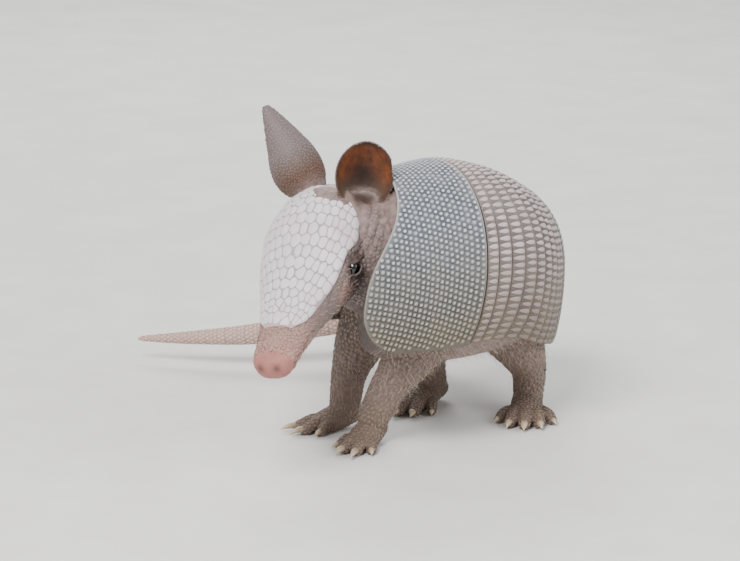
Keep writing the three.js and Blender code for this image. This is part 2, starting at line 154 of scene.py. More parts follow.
def shell(s, deg, inset=0.0):
    """A point of the shell: a squared ellipse above the widest level and a plain half ellipse below it, set
    across the middle line, plus to the animal's left."""
    s, deg, inset = np.broadcast_arrays(*(np.asarray(v, float) for v in (s, deg, inset)))
    x, y, heading, w, level, up, down = section(s + lean(s, deg))
    t, upper = np.radians(deg), np.abs(deg) < 90
    q = np.where(upper, SQUARE, 1)
    side = (w - inset) * np.sign(np.sin(t)) * np.abs(np.sin(t)) ** q
    rise = (np.where(upper, up, down) - inset) * np.sign(np.cos(t)) * np.abs(np.cos(t)) ** q
    return np.stack([x + side * np.sin(heading), y - side * np.cos(heading), level + rise], -1)


def shell_place(p):
    """The shell formula read backwards: for points, the place along the body, the degrees round, the share of
    the way out to the shell (1 on it), and the shell's distance from the axis there."""
    near = nearest(p[:, :2], middle_line)
    base, heading = middle_line[near], np.radians(curve(stations[near], HEADING))
    offset = p[:, :2] - base
    at = stations[near] + offset[:, 0] * np.cos(heading) + offset[:, 1] * np.sin(heading)
    x, y, heading, w, level, up, down = section(at)
    side = (p[:, 0] - x) * np.sin(heading) - (p[:, 1] - y) * np.cos(heading)
    rise = p[:, 2] - level
    q = np.where(rise > 0, SQUARE, 1)
    a, b = (np.abs(side) / w) ** (1 / q), (np.abs(rise) / np.where(rise > 0, up, down)) ** (1 / q)
    deg = np.degrees(np.arctan2(a, np.where(rise > 0, b, -b))) * np.sign(side)
    share = np.hypot(a, b) ** q
    s = at - lean(at, deg)
    s = at - lean(s, deg)
    return s, deg, share, np.hypot(side, rise) / np.maximum(share, 0.05)


# %% [markdown]
# ### The head's formula
# The long wedge of the head has an axis of its own, turned to the animal's left, lowered and tilted a little.
# Its rings are squared ellipses that are flatter above than below. Everything on the face is placed in this
# axis' own coordinates, so the whole head could be turned by changing three angles.

# %% The head's axis
HEAD_LENGTH, HEAD_BACK = 85, np.array([-23.4, -36.3, 90.6])
HEAD_HEADING, HEAD_PITCH, HEAD_ROLL = math.radians(28), math.radians(-28.5), math.radians(6)
FORWARD = np.array([math.sin(HEAD_HEADING) * math.cos(HEAD_PITCH),
                    -math.cos(HEAD_HEADING) * math.cos(HEAD_PITCH), math.sin(HEAD_PITCH)])
LEFT = unit(np.array([-FORWARD[1], FORWARD[0], 0]))
LEFT = LEFT * math.cos(HEAD_ROLL) + np.cross(FORWARD, LEFT) * math.sin(HEAD_ROLL)
UP = np.cross(FORWARD, LEFT)
HEAD_SIDE = [[-12, 15], [0, 19.4], [14, 21.3], [26, 20.4], [38, 17], [52, 12.6], [68, 9.6], [80, 8.3], [85, 6.9]]
HEAD_TOP = [[-12, 13], [0, 16.6], [14, 17], [26, 15.2], [38, 12.4], [52, 9.4], [68, 6.8], [80, 5.6], [85, 4.2]]
HEAD_BASE = [[-12, 17], [0, 20], [14, 20.5], [26, 19.2], [38, 16.2], [52, 12.6], [68, 9.6], [80, 7.8], [85, 5.8]]
HEAD_SQUARE = 0.9
print("the head points to", FORWARD.round(2))


def on_head(d, side, rise):
    """A point at d along the head's axis, to its left by side and up by rise."""
    d, side, rise = np.broadcast_arrays(*(np.asarray(v, float) for v in (d, side, rise)))
    return HEAD_BACK + d[..., None] * FORWARD + side[..., None] * LEFT + rise[..., None] * UP


def head_point(d, deg, inset=0.0):
    """A point of the head's surface at d along it and deg round from the top: a squared ellipse whose upper
    and lower halves have heights of their own."""
    d, deg, inset = np.broadcast_arrays(*(np.asarray(v, float) for v in (d, deg, inset)))
    s, c = np.sin(np.radians(deg)), np.cos(np.radians(deg))
    w = curve(d, HEAD_SIDE) - inset
    h = np.where(c > 0, curve(d, HEAD_TOP), curve(d, HEAD_BASE)) - inset
    return on_head(d, w * np.sign(s) * np.abs(s) ** HEAD_SQUARE, h * np.sign(c) * np.abs(c) ** HEAD_SQUARE)


def head_place(p):
    """The head formula read backwards: distance along the axis, degrees round, and share of the way out."""
    r = p - HEAD_BACK
    d, side, rise = r @ FORWARD, r @ LEFT, r @ UP
    h = np.where(rise > 0, curve(d, HEAD_TOP), curve(d, HEAD_BASE))
    a, b = (np.abs(side) / curve(d, HEAD_SIDE)) ** (1 / HEAD_SQUARE), (np.abs(rise) / h) ** (1 / HEAD_SQUARE)
    return d, np.degrees(np.arctan2(a, np.where(rise > 0, b, -b))) * np.sign(side), np.hypot(a, b) ** HEAD_SQUARE


# %% [markdown]
# ### Paths for the limbs
# Legs and tail are round bodies that follow a smooth path through a few points. A Bezier curve object would do,
# but the path is also asked later how far along it a point of the skin lies, so it is worked out here.

# %% Paths for legs and tail
def path_points(path, t):
    """Centripetal Catmull-Rom spline through the path's points, at t from 0 to 1: each span is a cubic whose
    end slopes weigh the neighbouring spans by the root of their lengths."""
    p = np.asarray(path, float)[:, :3]
    p = np.vstack([2 * p[0] - p[1], p, 2 * p[-1] - p[-2]])
    f = np.clip(np.asarray(t, float), 0, 1) * (len(p) - 3)
    i = np.minimum(f.astype(int), len(p) - 4)
    w = (f - i)[..., None]
    a, b, c, d = p[i], p[i + 1], p[i + 2], p[i + 3]
    root = lambda v: np.sqrt(np.linalg.norm(v, axis=-1, keepdims=True))
    u, v, z = root(a - b), root(b - c), root(c - d)
    t1 = ((b - a) / u - (c - a) / (u + v) + (c - b) / v) * v
    t2 = ((c - b) / v - (d - b) / (v + z) + (d - c) / z) * v
    return b + t1 * w + (-3 * b + 3 * c - 2 * t1 - t2) * w ** 2 + (2 * b - 2 * c + t1 + t2) * w ** 3


def path_frame(path, t):
    """Point, direction, level side and up vectors along a path."""
    c = path_points(path, t)
    e = 1e-3
    ahead = unit(path_points(path, np.minimum(t + e, 1)) - path_points(path, np.maximum(t - e, 0)))
    side = np.stack([-ahead[..., 1], ahead[..., 0], np.zeros_like(ahead[..., 0])], -1)
    side = np.where(np.linalg.norm(side, axis=-1, keepdims=True) < 0.05, [1.0, 0, 0], side)
    side = unit(side)
    return c, ahead, side, unit(np.cross(ahead, side))


TAIL_PATH = [[-37.5, 74, 48], [-49, 82, 43], [-66, 83.4, 35], [-83.4, 72.1, 27.5], [-104.7, 48.1, 20.5],
             [-124.5, 22.6, 15.5], [-148, 4.2, 12.5], [-171, -8.5, 10]]
TAIL_RADIUS = [[0, 10.5], [.15, 9.3], [.35, 7.8], [.6, 5.7], [.8, 3.7], [.93, 2.2], [1, 1.2]]
fine = np.linspace(0, 1, 801)
tail_run = np.concatenate([[0], np.cumsum(np.linalg.norm(np.diff(path_points(TAIL_PATH, fine), axis=0), axis=1))])
TAIL_LENGTH = tail_run[-1]


def tail_t(share):
    """The path's own parameter at a share of the tail's true length."""
    return np.interp(share, tail_run / TAIL_LENGTH, fine)


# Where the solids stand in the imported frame: the left eye's centre says how far they were moved.
eye_centres = {1: on_head(23.6, 17.8, -0.5), -1: on_head(23.6, -17.8, -0.5)}
low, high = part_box("eye_left")
SHIFT = (np.array(low) + np.array(high)) / 2 / MM - eye_centres[1]
SHIFT[2] = 0
print("tail", round(TAIL_LENGTH, 1), "mm, shift", SHIFT.round(2))

# %% [markdown]
# ## Surfaces and pieces
# Every new shape here is a grid of points that a formula places, closed at its ends. Whole arrays go into a
# mesh at once, which is quick even for a hundred thousand faces. A loft through rings suits flesh and plates,
# and one small helper turns the finished arrays into an object that rides on the body and stands for its nodes.

# %% Mesh helpers
def loft(rings, first, last):
    """A closed skin through rings (m, n, 3), quads between neighbouring rings and a fan of triangles to a point
    at each end."""
    m, n = rings.shape[:2]
    a = np.arange(m * n).reshape(m, n)
    b = np.roll(a, -1, 1)
    quads = np.stack([a[:-1], b[:-1], b[1:], a[1:]], -1).reshape(-1, 4)
    fans = np.concatenate([np.stack([np.full(n, m * n), b[0], a[0]], -1),
                           np.stack([np.full(n, m * n + 1), a[-1], b[-1]], -1)])
    return outward(np.vstack([rings.reshape(-1, 3), first, last]), [quads, fans])


def slab(outer, inner):
    """A closed plate between two grids (m, n, 3) of the same size, joined by a strip round their rims."""
    m, n = outer.shape[:2]
    a = np.arange(m * n).reshape(m, n)
    face = np.stack([a[:-1, :-1], a[:-1, 1:], a[1:, 1:], a[1:, :-1]], -1).reshape(-1, 4)
    rim = np.concatenate([a[0, :-1], a[:-1, -1], a[-1, :0:-1], a[:0:-1, 0]])
    after = np.roll(rim, -1)
    strip = np.stack([after, rim, rim + m * n, after + m * n], -1)
    return outward(np.vstack([outer.reshape(-1, 3), inner.reshape(-1, 3)]),
                   [np.concatenate([face, face[:, ::-1] + m * n, strip])])


def outward(points, faces):
    """The same body with its faces wound so that its signed volume is positive."""
    volume = sum(np.einsum("ij,ij->", points[f[:, 0]], np.cross(points[f[:, k]], points[f[:, k + 1]]))
                 for f in faces for k in range(1, f.shape[1] - 1))
    return points, faces if volume > 0 else [f[:, ::-1] for f in faces]


def joined(bodies):
    """Several (points, faces) bodies as one list of points and faces."""
    points, faces, start = [], [], 0
    for p, fs in bodies:
        points.append(p)
        faces += [f + start for f in fs]
        start += len(p)
    return np.vstack(points), faces


def to_mesh(name, points, faces, masks=None, patches=None):
    """A mesh from arrays: points in millimetres, faces as arrays of 3 or 4 corners, each mask a value for every
    point, and patches the OFBake place of every point."""
    mesh = bpy.data.meshes.new(name)
    mesh.vertices.add(len(points))
    mesh.vertices.foreach_set("co", ((points + SHIFT) * MM).astype(np.float32).ravel())
    corners = np.concatenate([f.ravel() for f in faces])
    sizes = np.concatenate([np.full(len(f), f.shape[1]) for f in faces])
    mesh.loops.add(len(corners))
    mesh.loops.foreach_set("vertex_index", corners.astype(np.int32))
    mesh.polygons.add(len(sizes))
    mesh.polygons.foreach_set("loop_start", (np.cumsum(sizes) - sizes).astype(np.int32))
    mesh.update(calc_edges=True)
    for key, values in (masks or {}).items():
        mesh.attributes.new(key, "FLOAT", "POINT").data.foreach_set("value", values.astype(np.float32))
    if patches is not None:
        layer = mesh.uv_layers.new(name="OFBake")
        layer.data.foreach_set("uv", patches[corners].astype(np.float32).ravel())
    mesh.polygons.foreach_set("use_smooth", np.ones(len(sizes), bool))
    return mesh


def piece(name, mesh, slot, material, *nodes):
    """An object for a finished mesh, which rides on the body and stands for the named nodes."""
    thing = bpy.data.objects.new(name, mesh)
    mesh.name = name
    bpy.context.scene.collection.objects.link(thing)
    mesh.materials.append(bpy.data.materials.get(material) or bpy.data.materials.new(material))
    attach(thing, "root")
    if nodes:
        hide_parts(*nodes)
    print(f"{name}: {sum(len(p.vertices) - 2 for p in mesh.polygons)} triangles")
    return thing


# %% [markdown]
# ## The flesh
# Under its shell the animal is one soft body, so trunk, neck, head, ears, legs and tail are made as closed
# lofts that overlap, and a voxel remesh melts them into a single skin with no seam. Sculpting by hand would
# look as good, but these lofts keep to the solids. The skin lies a little inside them, by the depth of the
# scales that go over it.

# %% Trunk, neck, head and tail lofts
SCALE_DEPTH = 0.3               # how far the skin lies inside the solids of the flesh
BELLY = [[-33, 38], [-20, 34], [10, 33], [45, 34], [65, 38], [82, 44]]


def trunk_loft():
    """Rings across the middle line: inside the shell above the widest level, and a flatter soft belly below."""
    s = np.linspace(-33, 82, 70)[:, None]
    deg = (-180 + 360 * (np.arange(72) + 0.5) / 72)[None]
    inset = PLATE + 0.75 + GAP + curve(s, [[-34, 7], [-27, 2.5], [-20, 0.5], [-10, 0], [84, 0]])
    x, y, heading, w, level, _, _ = section(s)
    turn = np.radians(deg)
    side = (w - inset - 0.4) * np.sign(deg) * np.abs(np.sin(turn)) ** 0.85
    belly = np.stack(np.broadcast_arrays(
        x + side * np.sin(heading), y - side * np.cos(heading),
        level - (level - curve(s, BELLY) - SCALE_DEPTH) * np.abs(np.cos(turn)) ** 0.8), -1)
    upper = shell(s - lean(s, deg), deg, inset)
    rings = np.where((np.abs(deg) < 90)[..., None], upper, belly)
    return loft(rings, rings[0].mean(0), rings[-1].mean(0))


def tube(path, radius, count=40, round_steps=6, sides=32, flat=1.0, place=lambda t: t):
    """A round-ended tube: at t along the path a ring of the given radius, flattened in height by flat, and at
    each end a half ball of rings."""
    t = np.linspace(0, 1, count)
    turn = np.radians(np.linspace(90, 0, round_steps, endpoint=False))[1:]
    ends = np.concatenate([np.zeros(len(turn)), t, np.ones(len(turn))])
    c, ahead, side, up = path_frame(path, place(ends))
    r = radius(ends)
    reach = np.concatenate([-np.sin(turn), np.zeros(count), np.sin(turn[::-1])]) * r
    scale = np.concatenate([np.cos(turn), np.ones(count), np.cos(turn[::-1])]) * r
    a = np.linspace(0, 2 * math.pi, sides, endpoint=False)[None, :, None]
    centre = c + ahead * reach[:, None]
    rings = centre[:, None] + scale[:, None, None] * (side[:, None] * np.cos(a) + flat * up[:, None] * np.sin(a))
    return loft(rings, c[0] - ahead[0] * r[0], c[-1] + ahead[-1] * r[-1])


def path_radius(path, grow=0.0):
    """The radius along a path whose points carry one as their fourth number."""
    knots = [[i / (len(path) - 1), p[3]] for i, p in enumerate(path)]
    return lambda t: curve(t, knots) + grow


def head_loft():
    """Rings of the head's own formula, closed at the nose by a rounded end."""
    d = np.concatenate([np.linspace(-12, 79.5, 70), 85 - 5 * np.cos(np.linspace(0, 1.35, 8))])
    deg = np.linspace(0, 360, 64, endpoint=False)
    end = 3.2 * (1 - np.sqrt(1 - np.clip((d - 78.5) / 5.8, 0, 1) ** 2))
    rings = head_point(d[:, None], deg[None], SCALE_DEPTH + end[:, None])
    return loft(rings, on_head(-15, 0, 0), on_head(HEAD_LENGTH - 0.3, 0, -0.3))


NECK_PATH = [[-9, -6, 76, 29], [-13.5, -22, 82, 27], [-21, -34.5, 88.5, 20.5]]
flesh = [trunk_loft(), head_loft(), tube(NECK_PATH, path_radius(NECK_PATH, -SCALE_DEPTH)),
         tube(TAIL_PATH, lambda t: curve(t, TAIL_RADIUS) - SCALE_DEPTH, 160, place=tail_t)]
print("points of trunk, head, neck and tail:", [len(points) for points, _ in flesh])

# %% [markdown]
# ### Ears
# Each ear is a thin leaf of gristle rolled into a cup: nearly a closed tube at the root and open towards the
# tip. So one formula serves both ears: how far up the leaf, how far round the roll, and how thick it is there.

# %% Ear lofts
EAR_ROLL = [[0, 125], [.2, 104], [.5, 84], [.8, 66], [1, 50]]
EAR_THICK = 1.0
EAR_NEAR = 27                   # every point of an ear is nearer than this to the middle of its axis
EARS = {   # root, length up to the tip, the way the hollow faces, and half-width up the leaf
    "left": (on_head(-9, 14.6, 7.6), np.array([9, -5.3, 24.6]), np.array([0.65, -0.65, -0.38]),
             [[0, 3.8], [.2, 8.2], [.45, 11], [.68, 10.8], [.85, 8.6], [.95, 5.6], [1, 2.6]]),
    "right": (on_head(-13, -6.5, 8), np.array([-25, -4.5, 32.3]), np.array([-0.72, 0.44, -0.42]),
              [[0, 5], [.2, 9.2], [.4, 9.8], [.6, 7.4], [.8, 4.4], [.93, 2.3], [1, .9]])}


def ear_axes(name):
    """Root, whole length, and the unit vectors up the ear, the way it opens, and across it."""
    root, axis, facing = EARS[name][:3]
    up = unit(axis)
    opening = unit(facing - up * (facing @ up))
    return root, axis, up, opening, np.cross(up, opening)


def ear_point(name, u, v, out=0.0):
    """A point u up the leaf and v round its roll (both 0 to 1), out from its hollow side: an arc whose radius
    gives the leaf's width, carried up the axis and bowed a little backwards."""
    root, axis, up, opening, across = ear_axes(name)
    u, v, out = np.broadcast_arrays(*(np.asarray(x, float) for x in (u, v, out)))
    roll = np.radians(curve(u, EAR_ROLL))
    r = curve(u, EARS[name][3]) / np.sin(np.minimum(roll, math.pi / 2))
    a = roll * (2 * v - 1)
    depth = r * 0.75 - (r + out) * np.cos(a) - curve(u, [[0, 0], [.5, 2], [1, 1]])
    return root + u[..., None] * axis + ((r + out) * np.sin(a))[..., None] * across + depth[..., None] * opening


def ear_loft(name):
    """The leaf as a closed plate, thinner towards its edge, rooted a little inside the head."""
    u, v = np.linspace(0, 1, 60)[:, None], np.linspace(0, 1, 70)[None]
    thick = EAR_THICK * (0.7 + 0.3 * step(np.minimum(v, 1 - v), 0, 0.12))
    return slab(ear_point(name, u, v, 0.12 + thick), ear_point(name, u, v, 0.12))


def ear_place(p):
    """For points near an ear: how far up it they are, how near its edge and the middle of its hollow (0 to 1,
    which carries painted shade), 1 on the hollow side and 0 on the back, and 1 if on an ear at all."""
    up, edge, hollow_shade, hollow, on = (np.zeros(len(p)) for _ in range(5))
    for name in EARS:
        u, v = (a.ravel() for a in np.meshgrid(np.linspace(0, 1, 44), np.linspace(0, 1, 44), indexing="ij"))
        sheets = np.vstack([ear_point(name, u, v, 0.12), ear_point(name, u, v, 0.12 + EAR_THICK)])
        rim = np.maximum(1 - step(np.minimum(v, 1 - v), 0.01, 0.16), step(u, 0.80, 0.97))
        deep = np.exp(-((u - 0.36) / 0.24) ** 2 - ((v - 0.5) / 0.2) ** 2)
        root, axis = EARS[name][:2]
        for i in np.array_split(np.flatnonzero(distance(p, root + axis / 2) < EAR_NEAR), 12):
            apart = ((p[i, None] - sheets[None]) ** 2).sum(-1)
            near = apart.argmin(1)
            k = near % len(u)
            up[i], edge[i], hollow_shade[i], hollow[i] = u[k], rim[k], deep[k], near < len(u)
            on[i] = apart[np.arange(len(i)), near] < 0.9
    return up, edge * on, hollow_shade * on, hollow * on, on


def funnel(p):
    """Nearness (1 to 0) to the floor of an ear's funnel, just in front of the leaf's root."""
    near = 0
    for name in EARS:
        root, axis, _, opening, _ = ear_axes(name)
        near = near + np.exp(-(distance(p, root + 0.07 * axis + 4.5 * opening) / 5.6) ** 4)
    return np.clip(near, 0, 1)


flesh += [ear_loft(name) for name in EARS]
print("ears:", {name: round(float(np.linalg.norm(EARS[name][1])), 1) for name in EARS}, "mm long")

# %% [markdown]
# ### Legs and feet
# A leg is a tapering limb on a path from inside the body to the heel. The foot adds a low pad and one short
# tube for each toe, fanned out from the heel. Four toes in front and five behind are what the species has.

# %% Leg lofts
FRONT_TOES = [[27, 10.5, 2.4, 4.5], [9, 14, 2.8, 8], [-8, 13.6, 2.8, 7.6], [-28, 9.5, 2.3, 4.2]]
HIND_TOES = [[31, 9.5, 2.4, 3.4], [14, 14, 2.9, 5], [0, 15.5, 3.1, 5.8], [-14, 13.6, 2.9, 5], [-31, 9, 2.3, 3.2]]
LEGS = {   # heel, heading in degrees, toes, length of the pad, mirrored or not, and the limb's path
    "front_left": ([-9.9, -24], 18, FRONT_TOES, 8, 1,
                   [[10, -6, 56, 13], [5.4, -14.4, 41, 11.5], [-2.5, -20.2, 26, 8.2], [-8.8, -24.2, 11, 6.7]]),
    "front_right": ([-33, -17], -20, FRONT_TOES, 8, -1,
                    [[-22, -8, 56, 13], [-27, -12, 40, 11.5], [-31.5, -15.4, 24, 7.8], [-33, -16.6, 10, 6.6]]),
    "hind_left": ([5, 54.5], 40, HIND_TOES, 14, 1,
                  [[-3, 40, 54, 17], [4, 44.5, 38, 14], [6.5, 53, 20, 8], [5, 55, 8, 6.6]]),
    "hind_right": ([-34, 37], 12, HIND_TOES, 14, -1,
                   [[-22, 34, 54, 17], [-28, 31, 38, 14], [-33.5, 34, 20, 8], [-34, 36.5, 8, 6.6]])}


def foot_point(leg, deg, distance, z, radius):
    """A point of the foot, distance from the heel at deg from the foot's own heading."""
    (x, y), heading = LEGS[leg][:2]
    a = math.radians(heading + deg)
    return [x + distance * math.sin(a), y - distance * math.cos(a), z, radius]


def toe_path(leg, toe):
    """A toe's path: from inside the pad over a raised knuckle and down to the claw's root."""
    deg, reach, r, _ = toe
    long, mirror = LEGS[leg][3:5]
    a = deg * mirror
    return [foot_point(leg, a, long * 0.6, r + 0.9, r), foot_point(leg, a, long + reach * 0.45, r + 1.1, r),
            foot_point(leg, a, long + reach * 0.82, r - 0.5, r * 0.84)]


def leg_lofts(leg):
    """The limb, the pad and the toes of one leg as closed tubes."""
    toes, long, path = LEGS[leg][2], LEGS[leg][3], LEGS[leg][5]
    pad = [foot_point(leg, 0, -1, 6.2, 6.4), foot_point(leg, 0, long * 0.5, 4.8, 6.8),
           foot_point(leg, 0, long, 3.4, 6.6)]
    tubes = [tube(path, path_radius(path, -SCALE_DEPTH)),
             tube(pad, path_radius(pad, -SCALE_DEPTH), flat=0.8)]
    for toe in toes:
        line = toe_path(leg, toe)
        tubes.append(tube(line, path_radius(line, -0.15), 16, sides=20))
    return tubes


for leg in LEGS:
    flesh += leg_lofts(leg)
print("closed lofts of flesh:", len(flesh))

# %% [markdown]
# ### One skin
# The lofts are melted into one skin by a voxel remesh. What lies hidden under the shell is thinned at once, so
# that the triangles go where they are seen. The cage of cubes it leaves is relaxed by moving each point to the
# mean of its neighbours and then back out by a little more, which smooths without shrinking the thin ears.

# %% Melt the lofts together
VOXEL = 0.55
SHELL_FRONT = [[0, -26], [45, -33.4], [80, -45.6], [100, -48], [112, -42], [118, -32]]
RUMP_END = 84
RUMP_CUT = [[0, 0], [60, 3], [90, 8], [105, 14], [118, 27]]
shield_front = lambda deg: curve(np.abs(deg), SHELL_FRONT)
rump_end = lambda deg: RUMP_END - curve(np.abs(deg), RUMP_CUT)


def applied(mesh, kind, group=None, **settings):
    """The mesh after one modifier, with a vertex group of weights if one is given."""
    thing = bpy.data.objects.new("work", mesh)
    bpy.context.scene.collection.objects.link(thing)
    if group is not None:
        weights = thing.vertex_groups.new(name="work")
        for level in np.unique(group):
            weights.add(np.flatnonzero(group == level).tolist(), float(level), "REPLACE")
    modifier = thing.modifiers.new("work", kind)
    for key, value in settings.items():
        setattr(modifier, key, value)
    if group is not None:
        modifier.vertex_group = "work"
    result = bpy.data.meshes.new_from_object(thing.evaluated_get(bpy.context.evaluated_depsgraph_get()))
    bpy.data.objects.remove(thing)
    bpy.data.meshes.remove(mesh)
    return result


def points_of(mesh):
    """A mesh's points in millimetres, as an array."""
    flat = np.empty(len(mesh.vertices) * 3, np.float32)
    mesh.vertices.foreach_get("co", flat)
    return flat.reshape(-1, 3).astype(float) / MM - SHIFT


def set_points(mesh, points):
    """Puts points in millimetres back into a mesh."""
    mesh.vertices.foreach_set("co", ((points + SHIFT) * MM).astype(np.float32).ravel())
    mesh.update()


def normals_of(mesh):
    """A mesh's smooth normals at its points."""
    flat = np.empty(len(mesh.vertices) * 3, np.float32)
    mesh.vertex_normals.foreach_get("vector", flat)
    return flat.reshape(-1, 3).astype(float)


def relaxed(mesh, rounds, weight=None):
    """Moves each point by half the way to the mean of its neighbours and then by 0.53 of the way back."""
    p = points_of(mesh)
    edges = np.empty(len(mesh.edges) * 2, np.int32)
    mesh.edges.foreach_get("vertices", edges)
    a, b = edges.reshape(-1, 2).T
    count = np.bincount(np.concatenate([a, b]), minlength=len(p))[:, None]
    weight = 1 if weight is None else weight[:, None]
    for _ in range(rounds):
        for share in (0.5, -0.53):
            mean = np.stack([np.bincount(a, p[b, k], len(p)) + np.bincount(b, p[a, k], len(p))
                             for k in range(3)], 1)
            p = p + share * weight * (mean / count - p)
    set_points(mesh, p)


def tucked(p):
    """Points of the flesh that would stand through a shell plate are drawn in to just under it. Past the edges
    of the plates the hold loosens over a few millimetres, and in the hollow of the bent flank it draws deeper."""
    s, deg, share, reach = shell_place(p)
    loose = (1.5 * step(np.abs(deg), SHELL_SIDE, SHELL_SIDE + 22) + 2 * step(shield_front(deg) - s, -1, 7)
             + 2 * step(s - rump_end(deg), -1, 6))
    bent = np.exp(-((deg + 85) / 30) ** 2) * step(s, 8, 22) * (1 - step(s, 58, 72))
    limit = 1 - (PLATE + 0.75 + 2.6 * bent) / reach + loose
    pull = np.minimum(1, limit / np.maximum(share, 1e-6))
    x, y, _, _, level, _, _ = section(s + lean(s, deg))
    centre = np.stack([x, y, level], 1)
    return np.where(((share > 0.5) & (share < 3))[:, None], centre + (p - centre) * pull[:, None], p)


skin = applied(to_mesh("skin", *joined(flesh)), "REMESH", mode="VOXEL", voxel_size=VOXEL * MM)
print("remeshed:", len(skin.vertices), "points")
s, deg, share, reach = shell_place(points_of(skin))
under_shell = ((np.abs(deg) < SHELL_SIDE - 12) & (s > shield_front(deg) + 8) & (s < rump_end(deg) - 6)
               & (share < 1.2)).astype(float)
skin = applied(skin, "DECIMATE", group=under_shell, ratio=0.55)
print("thinned under the shell:", len(skin.vertices), "points")
set_points(skin, tucked(points_of(skin)))
relaxed(skin, 6)

# %% [markdown]
# ### Finer mesh on the face
# Lids, nostrils and the small folds of the muzzle need a finer mesh than a leg does. So the edges there are
# halved once or twice, before the features are pressed in.

# %% Refine round the eyes and on the muzzle
def refined(mesh, chosen):
    """Halves every edge whose two ends are both chosen, and makes triangles of what that leaves."""
    bm = bmesh.new()
    bm.from_mesh(mesh)
    bm.verts.ensure_lookup_table()
    edges = [e for e in bm.edges if chosen[e.verts[0].index] and chosen[e.verts[1].index]]
    bmesh.ops.subdivide_edges(bm, edges=edges, cuts=1, use_grid_fill=True)
    bmesh.ops.triangulate(bm, faces=[f for f in bm.faces if len(f.verts) > 4])
    bm.to_mesh(mesh)
    bm.free()
    mesh.update()


def distance(p, centre):
    """Distance of each point from a centre."""
    return np.linalg.norm(p - centre, axis=1)


for radius in (7.5, 5.2):
    p = points_of(skin)
    d, deg, share = head_place(p)
    near_eye = (distance(p, eye_centres[1]) < radius) | (distance(p, eye_centres[-1]) < radius)
    refined(skin, near_eye | ((d > (62 if radius > 7 else 78)) & (share < 1.6)))
relaxed(skin, 3)
print("with a finer face:", len(skin.vertices), "points")

# %% [markdown]
# ### Lids, nose and folds
# Each feature is a small push in or out along the skin, given by a formula on the head's own coordinates. The
# lids follow the eyeball: inside their opening the skin sinks behind the ball, and outside it wraps round.

# %% Lids round the eyeballs
BALL = 3.5                      # radius of the eyeball
LID = 0.55                      # thickness of the lids over it
OPENING = (2.9, 1.95)           # half the length and half the height of the opening


def eye_axes(side):
    """The way an eye looks, the line from its inner to its outer corner, and its up direction."""
    gaze = unit(0.62 * FORWARD + side * 0.66 * LEFT + 0.42 * UP)
    corner = unit(np.cross(gaze, UP) * -side + 0.12 * UP)
    corner = unit(corner - gaze * (corner @ gaze))
    return gaze, corner, np.cross(gaze, corner) * side


def lidded(p, side):
    """Skin round an eye: by how far a point is from the middle of the opening (1 at its edge) it lies behind the
    ball, on the lid's rim, or on the lid, and further out it fades into the head. Two creases ring it."""
    centre = eye_centres[side]
    gaze, corner, up = eye_axes(side)
    r = p - centre
    length = np.linalg.norm(r, axis=1)
    n = r / length[:, None]
    a, b = n @ corner * BALL, n @ up * BALL
    almond = OPENING[1] * (1 - 0.26 * np.clip(np.abs(a) / OPENING[0], 0, 1) ** 2)
    e = np.sqrt((a / OPENING[0]) ** 2 + (b / almond) ** 2)
    e = np.where(n @ gaze > 0, e, 9)
    lid = BALL + LID * (step(e, 0.95, 1.12) + 0.3 * np.exp(-((e - 1.22) / 0.14) ** 2))
    lid -= 0.8 * step(-e, -0.98, -0.86)
    crease = 0.35 * np.exp(-((e - 1.75 - 0.12 * np.sin(3 * np.arctan2(b, a))) / 0.11) ** 2)
    crease += 0.45 * np.exp(-((e - 2.35) / 0.16) ** 2) * step(-b, -0.3, 1.5)
    held = (1 - step(e, 1.45, 2.1)) * (length < BALL * 2.2)
    target = length * (1 - held) + lid * held - crease * (length < BALL * 2.2) * (n @ gaze > 0.1)
    return centre + n * np.where(length < BALL * 2.2, target, length)[:, None]


p = points_of(skin)
before = p
for side in (1, -1):
    p = lidded(p, side)
print("points moved for the lids:", int((distance(p, before) > 0.01).sum()))
set_points(skin, p)

# %% [markdown]
# ### The nose, the mouth and the folds of the muzzle
# An armadillo's snout is soft and ringed by fine folds, with two round nostrils and a low mouth line. They could
# be sculpted, but each is a shallow groove, and a bell-shaped valley in the head's coordinates gives exactly that.

# %% Nose, mouth and folds
CROWN, TIP = -10, 66            # where the head shield begins and ends along the head
SHIELD_SIDE = [[-10, 24], [-4, 46], [2, 57], [8, 64], [16, 68], [25, 60], [36, 68], [50, 71], [60, 60], [66, 34]]
NOSTRIL = (83.0, 3.2, 0.9)      # along, to the side and up
MOUTH_RISE = -2.2               # the mouth's line below the head's axis


def valley(x, centre, width):
    """1 at the centre and falling away on both sides over the width, as a bell."""
    return np.exp(-((x - centre) / width) ** 2)


